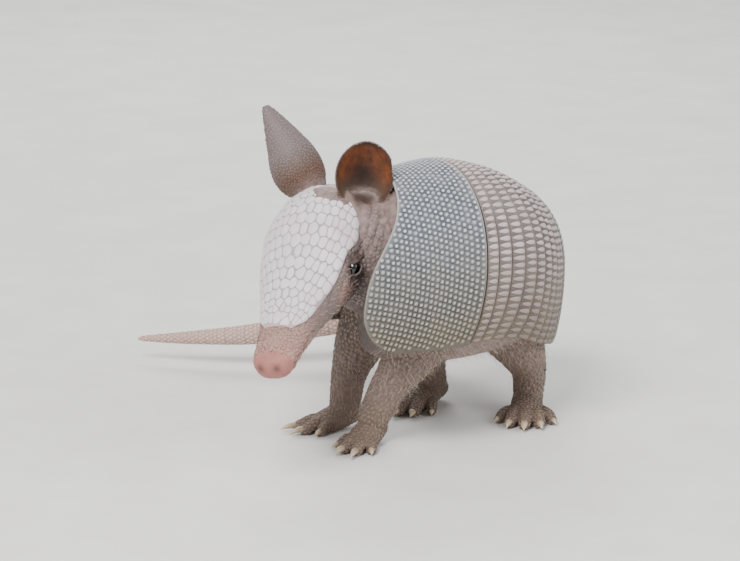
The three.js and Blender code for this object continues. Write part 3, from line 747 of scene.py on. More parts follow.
def face_relief(p):
    """How far the skin of the head is pushed out (plus) or in: fine folds across the muzzle that bow forward on
    top, nostrils, the mouth's line with lips beside it, and loose folds on the cheek and neck."""
    d, deg, share = head_place(p)
    r = p - HEAD_BACK
    side, rise = r @ LEFT, r @ UP
    on = (share > 0.75) & (share < 1.5) & (d > -14)
    bow = d + 3.5 * np.cos(np.radians(deg)) + 0.7 * np.sin(side * 1.3)
    muzzle = step(d, 54, 64) * (1 - step(d, 81, 84)) * (1 - 0.6 * step(np.abs(deg), 120, 160))
    relief = -0.26 * muzzle * (0.5 + 0.5 * np.cos(bow * 2 * math.pi / 2.3)) ** 2
    relief += -0.20 * muzzle * (0.5 + 0.5 * np.cos((bow * 0.55 + 0.5 * np.abs(side)) * 2 * math.pi / 1.9)) ** 3
    for s in (1, -1):
        hole = distance(p, on_head(NOSTRIL[0], s * NOSTRIL[1], NOSTRIL[2]))
        relief += -1.3 * np.exp(-(hole / 1.0) ** 4) + 0.28 * valley(hole, 1.7, 0.5)
    line = MOUTH_RISE + 0.035 * (85 - d) * 0.9
    mouth = valley(rise, line - 1.1, 0.42) * step(d, 50, 60) * (1 - step(d, 83, 85.5))
    lips = valley(rise, line - 0.2, 0.5) + valley(rise, line - 2.1, 0.6)
    relief += -0.75 * mouth + 0.15 * lips * step(d, 50, 60)
    relief += -0.35 * valley(side, 0, 0.45) * step(d, 80, 84)
    back = step(np.abs(deg), 62, 84) * (1 - step(d, 8, 22))
    relief += -0.5 * back * (0.5 + 0.5 * np.sin(d * 2 * math.pi / 3.4 + 0.05 * deg)) ** 2
    return np.where(on, relief, 0)


def moved_out(mesh, relief):
    """Pushes each point along its normal by its relief."""
    set_points(mesh, points_of(mesh) + normals_of(mesh) * relief[:, None])


p = points_of(skin)
d, deg, share = head_place(p)
bare = np.where(d < CROWN, 1, step(np.abs(deg) - curve(d, SHIELD_SIDE), 2, 9))
relief = face_relief(p) - 1.5 * funnel(p) * bare * (1 - ear_place(p)[4])
moved_out(skin, relief)
print("relief of the head from", round(relief.min(), 2), "to", round(relief.max(), 2), "mm")

# %% [markdown]
# ### Creases where the body bends
# Loose skin wrinkles across the way that it bends: in rings on the tail, across the wrists and heels, and in soft
# folds on the neck. Waves along each limb's own path press them in, and the soles are then made flat.

# %% Creases of the neck, legs, tail and belly, and flat soles
def path_place(p, path, place=lambda t: t, count=160):
    """For points, the nearest place along a path, the distance from it, and the degrees round from its top."""
    t = np.linspace(0, 1, count)
    line = path_points(path, place(t))
    near = nearest(p, line)
    c, ahead, side, up = path_frame(path, place(t[near]))
    r = p - c
    return t[near], np.linalg.norm(r - ahead * (r * ahead).sum(1, keepdims=True), axis=1), np.degrees(
        np.arctan2((r * side).sum(1), (r * up).sum(1)))


def limb_relief(p):
    """Rings of the tail, wrinkles behind each wrist and heel, and shallow folds across the belly and neck."""
    relief = np.zeros(len(p))
    t, off, _ = path_place(p, TAIL_PATH, tail_t)
    on_tail = off < curve(t, TAIL_RADIUS) * 1.5
    run = t * TAIL_LENGTH
    relief -= on_tail * (0.06 + 0.02 * curve(t, TAIL_RADIUS)) * (0.5 + 0.5 * np.cos(run * 2 * math.pi / 3)) ** 4
    for *_, path in LEGS.values():
        t, off, round_ = path_place(p, path)
        on_leg = (off < curve(t, [[i / 3, q[3]] for i, q in enumerate(path)]) * 1.35) & (t > 0.25)
        wave = 0.5 + 0.5 * np.cos((t * 46 + 0.6 * np.sin(np.radians(round_) * 2)) * 2 * math.pi / 3.4)
        relief -= on_leg * 0.22 * wave ** 3 * step(t, 0.3, 0.6) * (1 - 0.5 * step(p[:, 2], 0, 4))
    s, deg, share, _ = shell_place(p)
    below = (np.abs(deg) > SHELL_SIDE) & (share < 1.05) & (p[:, 2] > 25)
    relief -= below * 0.3 * (0.5 + 0.5 * np.cos(s * 2 * math.pi / 4.2)) ** 2
    before = shield_front(deg) - s
    neck = step(before, 0.5, 3) * (1 - step(before, 15, 24)) * (np.abs(deg) < 112) * (share > 0.3) * (share < 1.2)
    fold = 0.5 + 0.5 * np.cos((before + 0.8 * np.sin(deg * 0.11)) * 2 * math.pi / 4.4)
    relief -= neck * 0.42 * fold ** 1.5 * (p[:, 2] > 45) * (1 - ear_place(p)[4])
    return relief


p = points_of(skin)
moved_out(skin, limb_relief(p) * (p[:, 2] > 1.0))
p = points_of(skin)
p[:, 2] = np.maximum(p[:, 2], 0.02)
set_points(skin, tucked(p))
SKIN_MOST = 190_000             # triangles
count = sum(len(f.vertices) - 2 for f in skin.polygons)
skin = applied(skin, "DECIMATE", ratio=SKIN_MOST / count)
print("skin:", len(skin.vertices), "points")

# %% [markdown]
# ### What each place on the skin is
# The materials need to know muzzle from throat and the ear's hollow from its back. Each such region is a number
# from 0 to 1 at every point, worked out from the same coordinates that shaped the body, so no painting is needed.

# %% Regions of the skin
def skin_regions(p):
    """The masks, from distances along and round the head, shell, tail and legs. The dark mask is painted
    shade: on the throat and chest, under the shell, in the crease round each eye and in the nostrils.
    """
    d, deg, share = head_place(p)
    s, round_, shell_share, _ = shell_place(p)
    head = (share < 1.5) & (d > -8)
    up, edge, hollow_shade, hollow, on_ear = ear_place(p)
    # Painted shade in the funnel just in front of each ear.
    funnel_shade = funnel(p)
    t, off, _ = path_place(p, TAIL_PATH, tail_t)
    eye = np.minimum(distance(p, eye_centres[1]), distance(p, eye_centres[-1]))
    holes = [distance(p, on_head(NOSTRIL[0], k * NOSTRIL[1], NOSTRIL[2])) for k in (1, -1)]
    tail = (1 - step(off / curve(t, TAIL_RADIUS), 1.08, 1.45)) * step(t * TAIL_LENGTH, 0, 6)
    # Painted shade, gathered in the dark mask: throat, chest, skin under the shell, eye creases, nostrils.
    throat_shade = step(np.abs(deg), 80, 125) * (1 - step(d, 24, 50)) * head
    chest_shade = (1 - step(s, -24, 4)) * step(np.abs(round_), 112, 128) * step(p[:, 2], 18, 48) * (1 - head)
    # Painted shade on the skin under the shell and in the slits between the hoops.
    under = step(s - shield_front(round_), 0.5, 4) * (np.abs(round_) < 114) * (shell_share < 0.99)
    under *= 1 - 0.6 * step(s, 0, 4) * (1 - step(s, 34, 42))
    cheek_pink = sum(valley(distance(p, on_head(35, k * 16.2, -3.5)), 0, 5) for k in (1, -1))
    crown = (1 - step(d, -9, -5)) * step(d, -24, -15) * (1 - step(np.abs(deg), 50, 85)) * (share < 1.5)
    return {"pink": np.clip(step(d, 44, 76) * head + 0.8 * cheek_pink, 0, 1) * (1 - on_ear),
            "crown": 0.9 * crown * (1 - funnel_shade) * (1 - on_ear),
            "nose": step(d, 70, 84) * head, "tail": tail, "hollow": hollow, "ear": on_ear, "up": up, "edge": edge,
            "hollow_shade": hollow_shade, "funnel_shade": funnel_shade, "lid": 1 - step(eye, 4.1, 5.0),
            "dark": np.clip(0.7 * throat_shade + 0.75 * chest_shade + 0.5 * valley(eye, 6.3, 0.7)
                            + 1.2 * valley(np.minimum(*holes), 0, 1.5)
                            + 0.9 * under * (1 - head) * (1 - tail), 0, 1) * (1 - on_ear),
            "low": (1 - step(p[:, 2], 2, 34)) * (1 - tail)}


p = points_of(skin)
regions = skin_regions(p)
for key, values in regions.items():
    skin.attributes.new(key, "FLOAT", "POINT").data.foreach_set("value", values.astype(np.float32))
skin.polygons.foreach_set("use_smooth", np.ones(len(skin.polygons), bool))
LEG_NODES = [f"leg_{leg}" for leg in LEGS]
TAIL_NODES = [f"tail_{i}" for i in range(1, 6)]
piece("skin", skin, "skin", "living skin", "trunk", "neck", "head", "ear_left", "ear_right", *LEG_NODES,
      *TAIL_NODES)

# %% [markdown]
# ## Scutes
# The armour is thousands of small horny scutes that meet in grooves. One builder makes them all. Each scute
# takes the ground nearer to its own centre than to its neighbours', which is how growing scutes share a surface,
# and its outline is drawn in rings that rise to a boss. Beads set out by an array would be quicker, but they
# would neither meet nor follow the body.

# %% The scute builder
def cells(centres, along, across, stretch=1.0, cap=1.6, gap=0.2, sides=10):
    """Outlines of the ground nearest to each centre, in mm along and across. In a direction u the way to the
    halfway line of a neighbour at q is |q|^2 / (2 q.u); the outline is the least of these, capped, less half
    the gap. Distances along are first divided by the stretch, which makes longer cells. |q| counts depth too,
    so that a scale on the far side of a toe sets no limit."""
    near = np.concatenate([
        np.argpartition(((c[:, None] - centres[None]) ** 2).sum(-1), min(15, len(centres) - 1), axis=1)[:, :15]
        for c in np.array_split(centres, len(centres) // 400 + 1)])
    q = centres[near] - centres[:, None]
    x, y = (q * along[:, None]).sum(-1), (q * across[:, None]).sum(-1)
    deep = (q * q).sum(-1) - x * x - y * y
    x = x / stretch
    a = np.linspace(0, 2 * math.pi, sides, endpoint=False)
    ahead = x[..., None] * np.cos(a) + y[..., None] * np.sin(a)
    reach = np.where(ahead > 1e-3, (x * x + y * y + deep)[..., None] / np.maximum(2 * ahead, 1e-6), 99).min(1)
    reach = np.minimum(reach, cap) - gap / 2
    return np.stack([reach * np.cos(a) * stretch, reach * np.sin(a)], -1)


def scutes(place, at, per_mm, outline, rings, tone, patch, keep=None):
    """Closed scutes on a surface. place(a, b, height) gives a point of it, at is each scute's place in a and b,
    per_mm how far a and b change over a millimetre. A ring (share, height, roundness, mid) is the outline shrunk
    to a share of itself and drawn towards a circle, so many mm above the surface; mid tells boss from ground."""
    n, sides = outline.shape[:2]
    mean = np.linalg.norm(outline, axis=-1).mean(1)[:, None, None]
    circle = outline / np.maximum(np.linalg.norm(outline, axis=-1, keepdims=True), 1e-6) * mean
    points, mids = [], []
    for share, height, roundness, mid in rings:
        flat = share * (outline * (1 - roundness) + circle * roundness) * per_mm[:, None]
        ab = at[:, None] + flat
        if keep is not None:
            ab = keep(ab)
        if share == 0:
            ab = ab[:, :1]
        points.append(place(ab[..., 0], ab[..., 1], height + 0 * ab[..., 0]))
        mids.append(np.full(points[-1].shape[:2], mid))
    ab = at[:, None] if keep is None else keep(at[:, None])
    points.append(place(ab[..., 0], ab[..., 1], rings[0][1] + 0 * ab[..., 0]))
    mids.append(np.zeros((n, 1)))
    block = np.concatenate(points, 1)
    size = block.shape[1]
    k, j = len(rings) - 1, np.arange(sides)
    after = (j + 1) % sides
    inner, outer = j + sides, after + sides
    quads = np.concatenate([np.stack([j, after, outer, inner], -1) + r * sides for r in range(k - 1)])
    fans = np.concatenate([np.stack([(k - 1) * sides + j, (k - 1) * sides + after, np.full(sides, k * sides)], -1),
                           np.stack([after, j, np.full(sides, size - 1)], -1)])
    start = (np.arange(n) * size)[:, None, None]
    faces = [(quads[None] + start).reshape(-1, 4), (fans[None] + start).reshape(-1, 3)]
    root = patch(at)[:, None]
    spot = np.concatenate([outline * 0] * k + [outline[:, :2] * 0], 1)
    ring = outline / np.maximum(np.abs(outline).max((1, 2), keepdims=True), 1e-6) * 0.0015
    for i in range(k):
        spot[:, i * sides:(i + 1) * sides] = ring * max(rings[i][0], 0.1)
    masks = {"mid": np.concatenate(mids, 1).ravel(), "tone": np.repeat(tone, size)}
    points, faces = outward(block.reshape(-1, 3), faces)
    return points, faces, masks, (root + spot).reshape(-1, 2)


def as_mesh(name, parts):
    """One mesh from several (points, faces, masks, patches)."""
    points, faces = joined([(q[0], q[1]) for q in parts])
    masks = {key: np.concatenate([q[2].get(key, np.zeros(len(q[0]))) for q in parts])
             for key in ("mid", "tone", "rim")}
    return to_mesh(name, points, faces, masks, np.vstack([q[3] for q in parts]))


def sheet(u, v, outer, inner, rim, patch):
    """A closed plate over the grid u, v, with its masks and patches."""
    points, faces = slab(outer, inner)
    masks = {"mid": np.zeros(len(points)), "tone": np.full(len(points), 0.5),
             "rim": np.concatenate([rim.ravel()] * 2)}
    spots = patch(np.stack([u.ravel(), v.ravel()], -1))
    return points, faces, masks, np.vstack([spots, spots + 0.0005])


def shell_patch(at):
    """Where on the bake map a place (s, deg) of the shell lies: the shell unrolled into its own rectangle."""
    across = (at[..., 1] + SHELL_SIDE) / (2 * SHELL_SIDE)
    return np.stack([0.03 + 0.57 * across, 0.03 + 0.55 * (at[..., 0] + 50) / 134], -1)


def head_patch(at):
    """Where on the bake map a place (d, deg) of the head lies: the head unrolled into a rectangle beside it."""
    return np.stack([0.03 + 0.4 * (at[..., 1] + 180) / 360, 0.62 + 0.35 * (at[..., 0] + 15) / 100], -1)


print("outline with four neighbours a millimetre away:", cells(
    np.array([[0, 0, 0], [1, 0, 0], [0, 1, 0], [-1, 0, 0], [0, -1, 0]], float), np.tile([1.0, 0, 0], (5, 1)),
    np.tile([0, 1.0, 0], (5, 1)), sides=4)[0].round(2).tolist())

# %% [markdown]
# ### The two shields
# Over the shoulders and the hips the scutes are rosettes: a round pale boss on dark ground, set in rows that run
# round the body. They stand on a thin plate, so that the grooves between them have a floor.

# %% Rosettes of the shields
ROW, PITCH = 2.05, 2.4          # from row to row, and from boss to boss in a row
GROUND = 0.62                   # how far the plate under the rosettes lies below the shell's surface
ROSETTE = [(0.9, -0.3, 0, 0), (1, 0.08, 0, 0), (0.9, 0.26, 0, 0.05), (0.62, 0.29, 0.5, 0.12),
           (0.5, 0.5, 0.7, 0.85), (0.28, 0.6, 0.8, 1), (0, 0.62, 1, 1)]
TOP = lambda s, deg, height: shell(s, deg, GROUND - height)   # a point so high above that plate


def scale_of(surface, a, b, e, least=0.0):
    """How far each coordinate changes over a millimetre of a surface: one over the way that the surface goes when
    the coordinate grows by one, taken from a small step e to both sides. The first way is never under least."""
    run = np.linalg.norm(surface(a + e, b) - surface(a - e, b), axis=-1) / (2 * e)
    turn = np.linalg.norm(surface(a, b + e) - surface(a, b - e), axis=-1) / (2 * e)
    return np.stack([1 / np.maximum(run, least), 1 / turn], -1)


shell_scale = lambda s, deg: scale_of(shell, s, deg, 0.25, 0.25)
head_scale = lambda d, deg: scale_of(head_point, d, deg, 0.3)


def rows_of(starts, first, last, pitch=PITCH):
    """Sites in rows round the shell at each s in starts, a pitch apart along the arc, every other row moved by
    half a pitch, kept where first(deg) < s < last(deg), and each shaken a little."""
    deg = np.linspace(-117, 117, 469)
    sites = []
    for i, s in enumerate(starts):
        ring = shell(s, deg)
        run = np.concatenate([[0], np.cumsum(np.linalg.norm(np.diff(ring, axis=0), axis=1))])
        middle = run[len(run) // 2]
        count = int(run[-1] / pitch)
        stops = middle + (np.arange(-count, count) + 0.5 * (i % 2)) * pitch
        stops = stops[(stops > 0.5) & (stops < run[-1] - 0.5)]
        around = np.interp(stops, run, deg)
        sites.append(np.stack([np.full(len(around), s), around], -1)[(s > first(around)) & (s < last(around))])
    sites = np.vstack(sites)
    return sites + rng.normal(0, 0.11, sites.shape) * shell_scale(sites[:, 0], sites[:, 1])


def frames_at(place, at, per_mm):
    """Point, unit vector along the first coordinate, and unit vector across it, at each site."""
    c, e = place(at[:, 0], at[:, 1], 0 * at[:, 0]), 0.2
    along = unit(place(at[:, 0] + e * per_mm[:, 0], at[:, 1], 0 * at[:, 0]) - c)
    across = place(at[:, 0], at[:, 1] + e * per_mm[:, 1], 0 * at[:, 0]) - c
    return c, along, unit(across - along * (across * along).sum(1, keepdims=True))


def shield(name, node, first, last, starts, lip):
    """A shield: the plate between two edges, and rosettes whose outlines are held inside those edges."""
    u, v = np.meshgrid(np.linspace(0, 1, 60), np.linspace(-SHELL_SIDE, SHELL_SIDE, 150), indexing="ij")
    s = first(v) * (1 - u) + last(v) * u
    edge = np.minimum(s - first(v), last(v) - s)
    rim = 1 - step(np.minimum(edge, (SHELL_SIDE - np.abs(v)) * 0.7), 0.3, 1.0)
    outer = shell(s, v, GROUND - 0.42 * rim * lip)
    at = rows_of(starts, lambda deg: first(deg) + 1.0, lambda deg: last(deg) - 0.7)
    per_mm = shell_scale(at[:, 0], at[:, 1])
    c, along, across = frames_at(TOP, at, per_mm)
    outline = cells(c, along, across, cap=1.45, gap=0.16)

    def keep(ab):
        """Places held inside the shield's edges, by clipping both coordinates."""
        b = np.clip(ab[..., 1], -117.3, 117.3)
        return np.stack([np.clip(ab[..., 0], first(b) + 0.35, last(b) - 0.35), b], -1)

    parts = [sheet(s, v, outer, shell(s, v, PLATE), rim, shell_patch),
             scutes(TOP, at, per_mm, outline, ROSETTE, rng.random(len(at)), shell_patch, keep)]
    return piece(name, as_mesh(name, parts), "shield_scutes", "shield horn", node)


SHOULDER_BACK, HIP_FRONT = -0.2, 32.1   # where the shields end towards the bands
shield("shoulder_shield", "scapular_shield", shield_front, lambda deg: SHOULDER_BACK + 0 * deg,
       -1.35 - ROW * np.arange(23), 0.8)
shield("hip_shield", "pelvic_shield", lambda deg: HIP_FRONT + 0 * deg, rump_end,
       33.4 + ROW * np.arange(25), 0.8)

# %% [markdown]
# ### The nine bands
# Each band is a narrow hoop that slides over the next. Its scutes are long pale lozenges, broad at the rear
# edge, with a dark wedge between every two. The hoops are separate pieces, as they are on the animal.

# %% Lozenges and wedges of the bands
BAND_FIRST, BAND_PITCH = 0.6, 3.5
LOZENGES = 2.85                 # from one lozenge to the next, round the hoop
a = np.linspace(0, 2 * math.pi, 12, endpoint=False)
LOZENGE = np.stack([np.cos(a), np.sin(a) * (0.76 + 0.24 * np.cos(a))], -1)
WEDGE = np.stack([np.cos(a), np.sin(a) * (0.52 - 0.48 * np.cos(a))], -1)
SCUTE = [(0.96, -0.25, 0, 0), (1, 0.16, 0, 0.35), (0.88, 0.34, 0, 0.85), (0.55, 0.43, 0, 1), (0, 0.46, 0, 1)]
LOW_SCUTE = [(0.95, -0.2, 0, 0), (1, 0.1, 0, 0), (0.75, 0.2, 0, 0.05), (0, 0.24, 0, 0.1)]


def band(i):
    """One hoop: a plate that rises towards its rear edge, and its two kinds of scute in their places round it."""
    front, back = BAND_FIRST + i * BAND_PITCH, BAND_FIRST + (i + 1) * BAND_PITCH - GAP * 1.25
    long = back - front
    base = lambda s: 0.46 + 0.5 * (1 - (s - front) / long)

    def place(s, deg, height):
        """A point so high above the hoop's rising plate."""
        return shell(s, deg, base(s) - height)

    u, v = np.meshgrid(np.linspace(0, 1, 9), np.linspace(-SHELL_SIDE, SHELL_SIDE, 180), indexing="ij")
    s = front + long * u
    rim = step(u, 0.86, 0.97)
    parts = [sheet(s, v, shell(s, v, base(s) - 0.16 * rim), shell(s, v, PLATE + 0.2), rim, shell_patch)]
    deg = np.linspace(-SHELL_SIDE, SHELL_SIDE, 473)
    run = np.concatenate([[0], np.cumsum(np.linalg.norm(np.diff(shell(front + long / 2, deg), axis=0), axis=1))])
    count = int(run[-1] / LOZENGES)
    stops = (np.arange(count) + 0.5) * run[-1] / count
    for kind, rings, middle, size, wide in ((LOZENGE, SCUTE, 0.54, 0.46, 0.45),
                                            (WEDGE, LOW_SCUTE, 0.36, 0.33, 0.24)):
        where = stops if kind is LOZENGE else stops[:-1] + run[-1] / count / 2
        around = np.interp(where + rng.normal(0, 0.05, len(where)), run, deg)
        at = np.stack([np.full(len(around), front + long * middle), around], -1)
        per_mm = shell_scale(at[:, 0], at[:, 1])
        grow = 1 + rng.normal(0, 0.05, (len(at), 1, 1))
        outline = kind[None] * grow * np.array([1, LOZENGES * wide])
        outline = outline * np.stack([long * size / per_mm[:, :1], np.ones((len(at), 1))], -1)
        keep = lambda ab: np.stack([np.clip(ab[..., 0], front + 0.05, back - 0.05),
                                    np.clip(ab[..., 1], -117.7, 117.7)], -1)
        tone = rng.random(len(at)) * (0.5 if kind is WEDGE else 1)
        parts.append(scutes(place, at, per_mm, outline, rings, tone, shell_patch, keep))
    return piece(f"hoop_{i + 1}", as_mesh(f"hoop_{i + 1}", parts), "band_scutes", "band horn", f"band_{i + 1}")


for i in range(9):
    band(i)

# %% [markdown]
# ### The head shield
# The plates of the forehead are the largest and flattest: polygons on the crown and longer ones down the snout,
# in rows that bow forward. Their tops are almost flat, with thin grey grooves between.

# %% Plates of the head
HEAD_PLATE = [(0.97, -0.3, 0, 0), (1, 0.14, 0, 0.35), (0.92, 0.3, 0.06, 0.75), (0.66, 0.41, 0.15, 1),
              (0, 0.47, 0, 1)]


def on_shield(d, deg, height):
    """A point of the head plus a height: 0.55 mm outside its flesh in the middle of the shield, and less near
    the shield's side and front edges, where its plates run out into the skin."""
    edge = np.minimum((curve(d, SHIELD_SIDE) - np.abs(deg)) * 0.3, (TIP - d) * 0.7)
    return head_point(d, deg, -0.08 - 0.47 * step(edge, -0.3, 3.2) - height)


sites, d = [], CROWN + 1.6
for i in range(30):
    wide = float(curve(d, [[-8, 2.3], [6, 3.1], [25, 3.4], [45, 3.0], [58, 2.4], [66, 1.8]]))
    mm = 1 / head_scale(np.array([d]), np.array([20.0]))[0, 1]
    deg = (np.arange(-24, 25) + 0.5 * (i % 2)) * wide / mm
    bowed = d + 2.6 * (1 - np.cos(np.radians(deg * 1.3)))
    limit = curve(bowed, SHIELD_SIDE) - 1.4 / mm
    ragged = TIP - 1.2 - 2.5 * rng.random(len(deg))
    good = (np.abs(deg) < limit) & (bowed < ragged) & (bowed > CROWN + 1)
    sites.append(np.stack([bowed, deg], -1)[good])
    d += float(curve(d, [[-8, 3.0], [6, 5.6], [25, 5.6], [45, 4.6], [58, 3.2], [66, 2.2]]))
    if d > TIP:
        break
at = np.vstack(sites)
per_mm = head_scale(at[:, 0], at[:, 1])
at = at + rng.normal(0, 0.42, at.shape) * per_mm
c, along, across = frames_at(on_shield, at, per_mm)
outline = cells(c, along, across, stretch=1.6, cap=2.4, gap=0.2, sides=14)


def inside(ab):
    """Keeps a plate's outline within the edge of the head shield."""
    d = np.clip(ab[..., 0], CROWN + 0.3, TIP - 0.3)
    limit = curve(d, SHIELD_SIDE) - 1.2
    return np.stack([d, np.clip(ab[..., 1], -limit, limit)], -1)


u, v = np.meshgrid(np.linspace(CROWN, TIP, 90), np.linspace(-1, 1, 60), indexing="ij")
deg = v * curve(u, SHIELD_SIDE)
rim = np.maximum(step(np.abs(v), 0.93, 1), step(u, TIP - 7, TIP))
parts = [sheet(u, deg, on_shield(u, deg, -0.1 * rim), head_point(u, deg, 0.25), rim, head_patch),
         scutes(on_shield, at, per_mm, outline, HEAD_PLATE, rng.random(len(at)), head_patch, inside)]
piece("forehead_plates", as_mesh("forehead_plates", parts), "head_scutes", "head horn", "head_shield")

# %% [markdown]
# ## Scales and hairs on the soft parts
# Where there is no armour the skin still carries small scales: rings of them on the tail, rows down the legs and
# feet, pebbles on the backs of the ears. They come from the same builder as the scutes. On the tail a formula
# sets the rings; elsewhere points of the skin are picked so that no two are closer than one scale.

# %% Rings of scutes on the tail
def on_tail(t, deg, height):
    """A point at a share t of the tail's length and deg round it, so high above the skin."""
    c, ahead, side, up = (q.reshape(t.shape + (3,)) for q in path_frame(TAIL_PATH, tail_t(t.ravel())))
    r = (curve(t, TAIL_RADIUS) - SCALE_DEPTH + height)[..., None]
    a = np.radians(deg)[..., None]
    return c + r * (side * np.cos(a) + up * np.sin(a))


tail_patch = lambda at: np.stack([0.46 + 0.5 * at[..., 0], 0.62 + 0.1 * (at[..., 1] % 360) / 360], -1)
SCALE = [(0.9, -0.2, 0, 0), (1, 0.03, 0, 0), (0.86, 0.2, 0.1, 0.8), (0, 0.3, 0, 1)]
stops, sites = 2.0, []
while stops < TAIL_LENGTH - 2:
    t = stops / TAIL_LENGTH
    r = float(curve(t, TAIL_RADIUS))
    count = max(int(2 * math.pi * r / (1.5 + 0.09 * r)), 6)
    ring = (np.arange(count) + 0.5 * (len(sites) % 2)) * 360 / count
    sites.append(np.stack([np.full(count, t), ring], -1))
    stops += 1.35 + 0.1 * r
at = np.vstack(sites)
radius = curve(at[:, 0], TAIL_RADIUS)
per_mm = np.stack([np.full(len(at), 1 / TAIL_LENGTH), np.degrees(1 / radius)], -1)
at = at + rng.normal(0, 0.07, at.shape) * per_mm
c, along, across = frames_at(on_tail, at, per_mm)
outline = cells(c, along, across, stretch=0.95, cap=1.5, gap=0.2, sides=8)
rings_of_scutes = scutes(on_tail, at, per_mm, outline, SCALE, rng.random(len(at)), tail_patch)
piece("tail_scutes", as_mesh("tail_scutes", [rings_of_scutes]), "skin", "tail horn", *TAIL_NODES)

# %% [markdown]
# ### A coat of small scales
# Legs, cheeks and ears have no formula as simple as the tail's. So points of the finished skin are picked, far
# enough apart, and a scale is laid in the plane of the skin at each. Instances of one scale would be lighter, but
# being all alike they would overlap or leave gaps, and never meet.

# %% Scales set on the skin's own points
p, n = points_of(skin), normals_of(skin)
d, head_deg, head_share = head_place(p)
s, shell_deg, shell_share, _ = shell_place(p)
eye_gap = np.minimum(distance(p, eye_centres[1]), distance(p, eye_centres[-1]))


def picked(chosen, spacing):
    """Chosen points of the skin in random order, each kept only if no kept one is nearer than the spacing, which
    may differ from point to point."""
    order = rng.permutation(np.flatnonzero(chosen))
    tree = KDTree(len(order))
    for k, i in enumerate(order):
        tree.insert(p[i], k)
    tree.balance()
    free, kept = np.ones(len(order), bool), []
    gaps = np.broadcast_to(spacing, len(p))
    for k, i in enumerate(order):
        if free[k]:
            kept.append(i)
            for _, other, _ in tree.find_range(p[i], float(gaps[i])):
                free[other] = False
    return np.array(kept)


def lowered(rings, share):
    """The same rings with every height multiplied by a share."""
    return [(ring[0], ring[1] * share, ring[2], ring[3]) for ring in rings]


def scale_coat(name, chosen, spacing, lie, rings, nodes, slot, look, spots, stretch=1.2, sides=8, tilt=0.1,
               flush=None):
    """Scales on picked points of the skin: cells in the plane of the skin, lying along the given direction, each
    with its hinder edge lifted by the tilt, a rise in mm for every mm along. Spots are the OFBake places of all
    points. Where flush (0 to 1) is given, the scales take on that much of the look's second colour."""
    i = picked(chosen, spacing)
    normal = unit(n[i])
    along = unit(lie[i] - normal * (lie[i] * normal).sum(1, keepdims=True))
    across = np.cross(normal, along)
    outline = cells(p[i], along, across, stretch=stretch, cap=float(np.max(spacing)) * 0.62, gap=0.16,
                    sides=sides)
    centre = p[i]

    def place(a, b, height):
        """A point a along and b across a scale, above its own plane, plus the tilt of a rise along it."""
        x, y = a[..., None], b[..., None]
        return (centre[:, None] + x * along[:, None] + y * across[:, None]
                + normal[:, None] * (height[..., None] + tilt * x * (height[..., None] > 0)))

    at = np.zeros((len(i), 2))
    part = scutes(place, at, np.ones((len(i), 2)), outline, rings, rng.random(len(i)), lambda _: spots[i])
    if flush is not None:
        part[2]["rim"] = np.repeat(flush[i], len(part[0]) // len(i))
    return piece(name, as_mesh(name, [part]), slot, look, *nodes)


print("points of the skin to pick from:", len(p))

# %% [markdown]
# ### Scales of the legs and feet
# The scales of a leg lie along the limb and those of a foot point to the toes. They are smallest on the feet, and
# none are wasted where the shell hides the leg.

# %% Legs and feet
leg_lie, on_leg = np.zeros_like(p), np.zeros(len(p), bool)
leg_spot = np.zeros((len(p), 2))
for k, (leg, (_, heading, _, long, _, path)) in enumerate(LEGS.items()):
    t, off, deg = path_place(p, path)
    here = (off < curve(t, [[i / 3, q[3]] for i, q in enumerate(path)]) * 1.25) & (t > 0.12) & (p[:, 2] > 7)
    tip = np.array(foot_point(leg, 0, long * 0.6, 0, 0)[:2])
    ahead = np.array([math.sin(math.radians(heading)), -math.cos(math.radians(heading)), -0.15])
    foot = (np.hypot(p[:, 0] - tip[0], p[:, 1] - tip[1]) < long + 10) & (p[:, 2] < 12)
    leg_lie[here] = path_frame(path, t[here])[1]
    leg_lie[foot & ~here] = ahead
    spot = np.stack([0.63 + 0.09 * k + 0.08 * (deg + 180) / 360, 0.03 + 0.5 * t], -1)
    spot[foot & ~here, 1] = 0.55 + 0.002 * (p[foot & ~here, 0] - tip[0])
    leg_spot[here | foot] = spot[here | foot]
    on_leg |= here | foot
armoured = (np.abs(shell_deg) < 112) & (s > shield_front(shell_deg) - 1) & (s < rump_end(shell_deg) + 1)
hidden = ((np.abs(shell_deg) < 116) & (shell_share < 1)) | (armoured & (shell_share < 1.3))
on_leg &= (p[:, 2] > 1.2) & (n[:, 2] > -0.75) & ~hidden
scale_coat("leg_scales", on_leg, np.where(p[:, 2] < 9, 1.2, 1.55), leg_lie, SCALE, LEG_NODES, "skin", "leg horn",
           leg_spot, tilt=0.12)

# %% [markdown]
# ### Scales of the cheeks and neck
# Beside and behind the head shield and on the muzzle, the skin carries low pebbles that lie backwards. They stop
# short of the eyelids and of the tip of the nose, which are bare. Placing them by hand would take days, so masks
# from the head's own coordinates say where they grow.

# %% Cheeks and neck
beside_shield = (np.abs(head_deg) > curve(d, SHIELD_SIDE) + 3) | (d > TIP - 1) | (d < CROWN)
rear = np.where(np.abs(head_deg) < 70, -24, -12)
near_head = (head_share > 0.7) & (head_share < np.where(d < -8, 2, 1.35)) & (d > rear) & (d < 78)
on_face = (near_head & (eye_gap > 5.6) & beside_shield & (np.abs(head_deg) < 150) & (regions["ear"] < 0.5)
           & (regions["funnel_shade"] < 0.1))
backwards = np.tile(-FORWARD, (len(p), 1))
face_spot = head_patch(np.stack([d, head_deg], -1))
scale_coat("cheek_scales", on_face, 1.15 + 0.55 * step(-d, -40, -5), backwards, lowered(SCALE, 0.6),
           ("head", "neck"), "skin", "face horn", face_spot, tilt=0.05,
           flush=np.maximum(regions["pink"], regions["crown"]))

# %% [markdown]
# ### Pebbles on the ears
# The back of each ear is finely pebbled like leather, and its hollow is smooth. A bump in the material would
# nearly do, but the pebbles show along the ear's outline, so they are modelled.

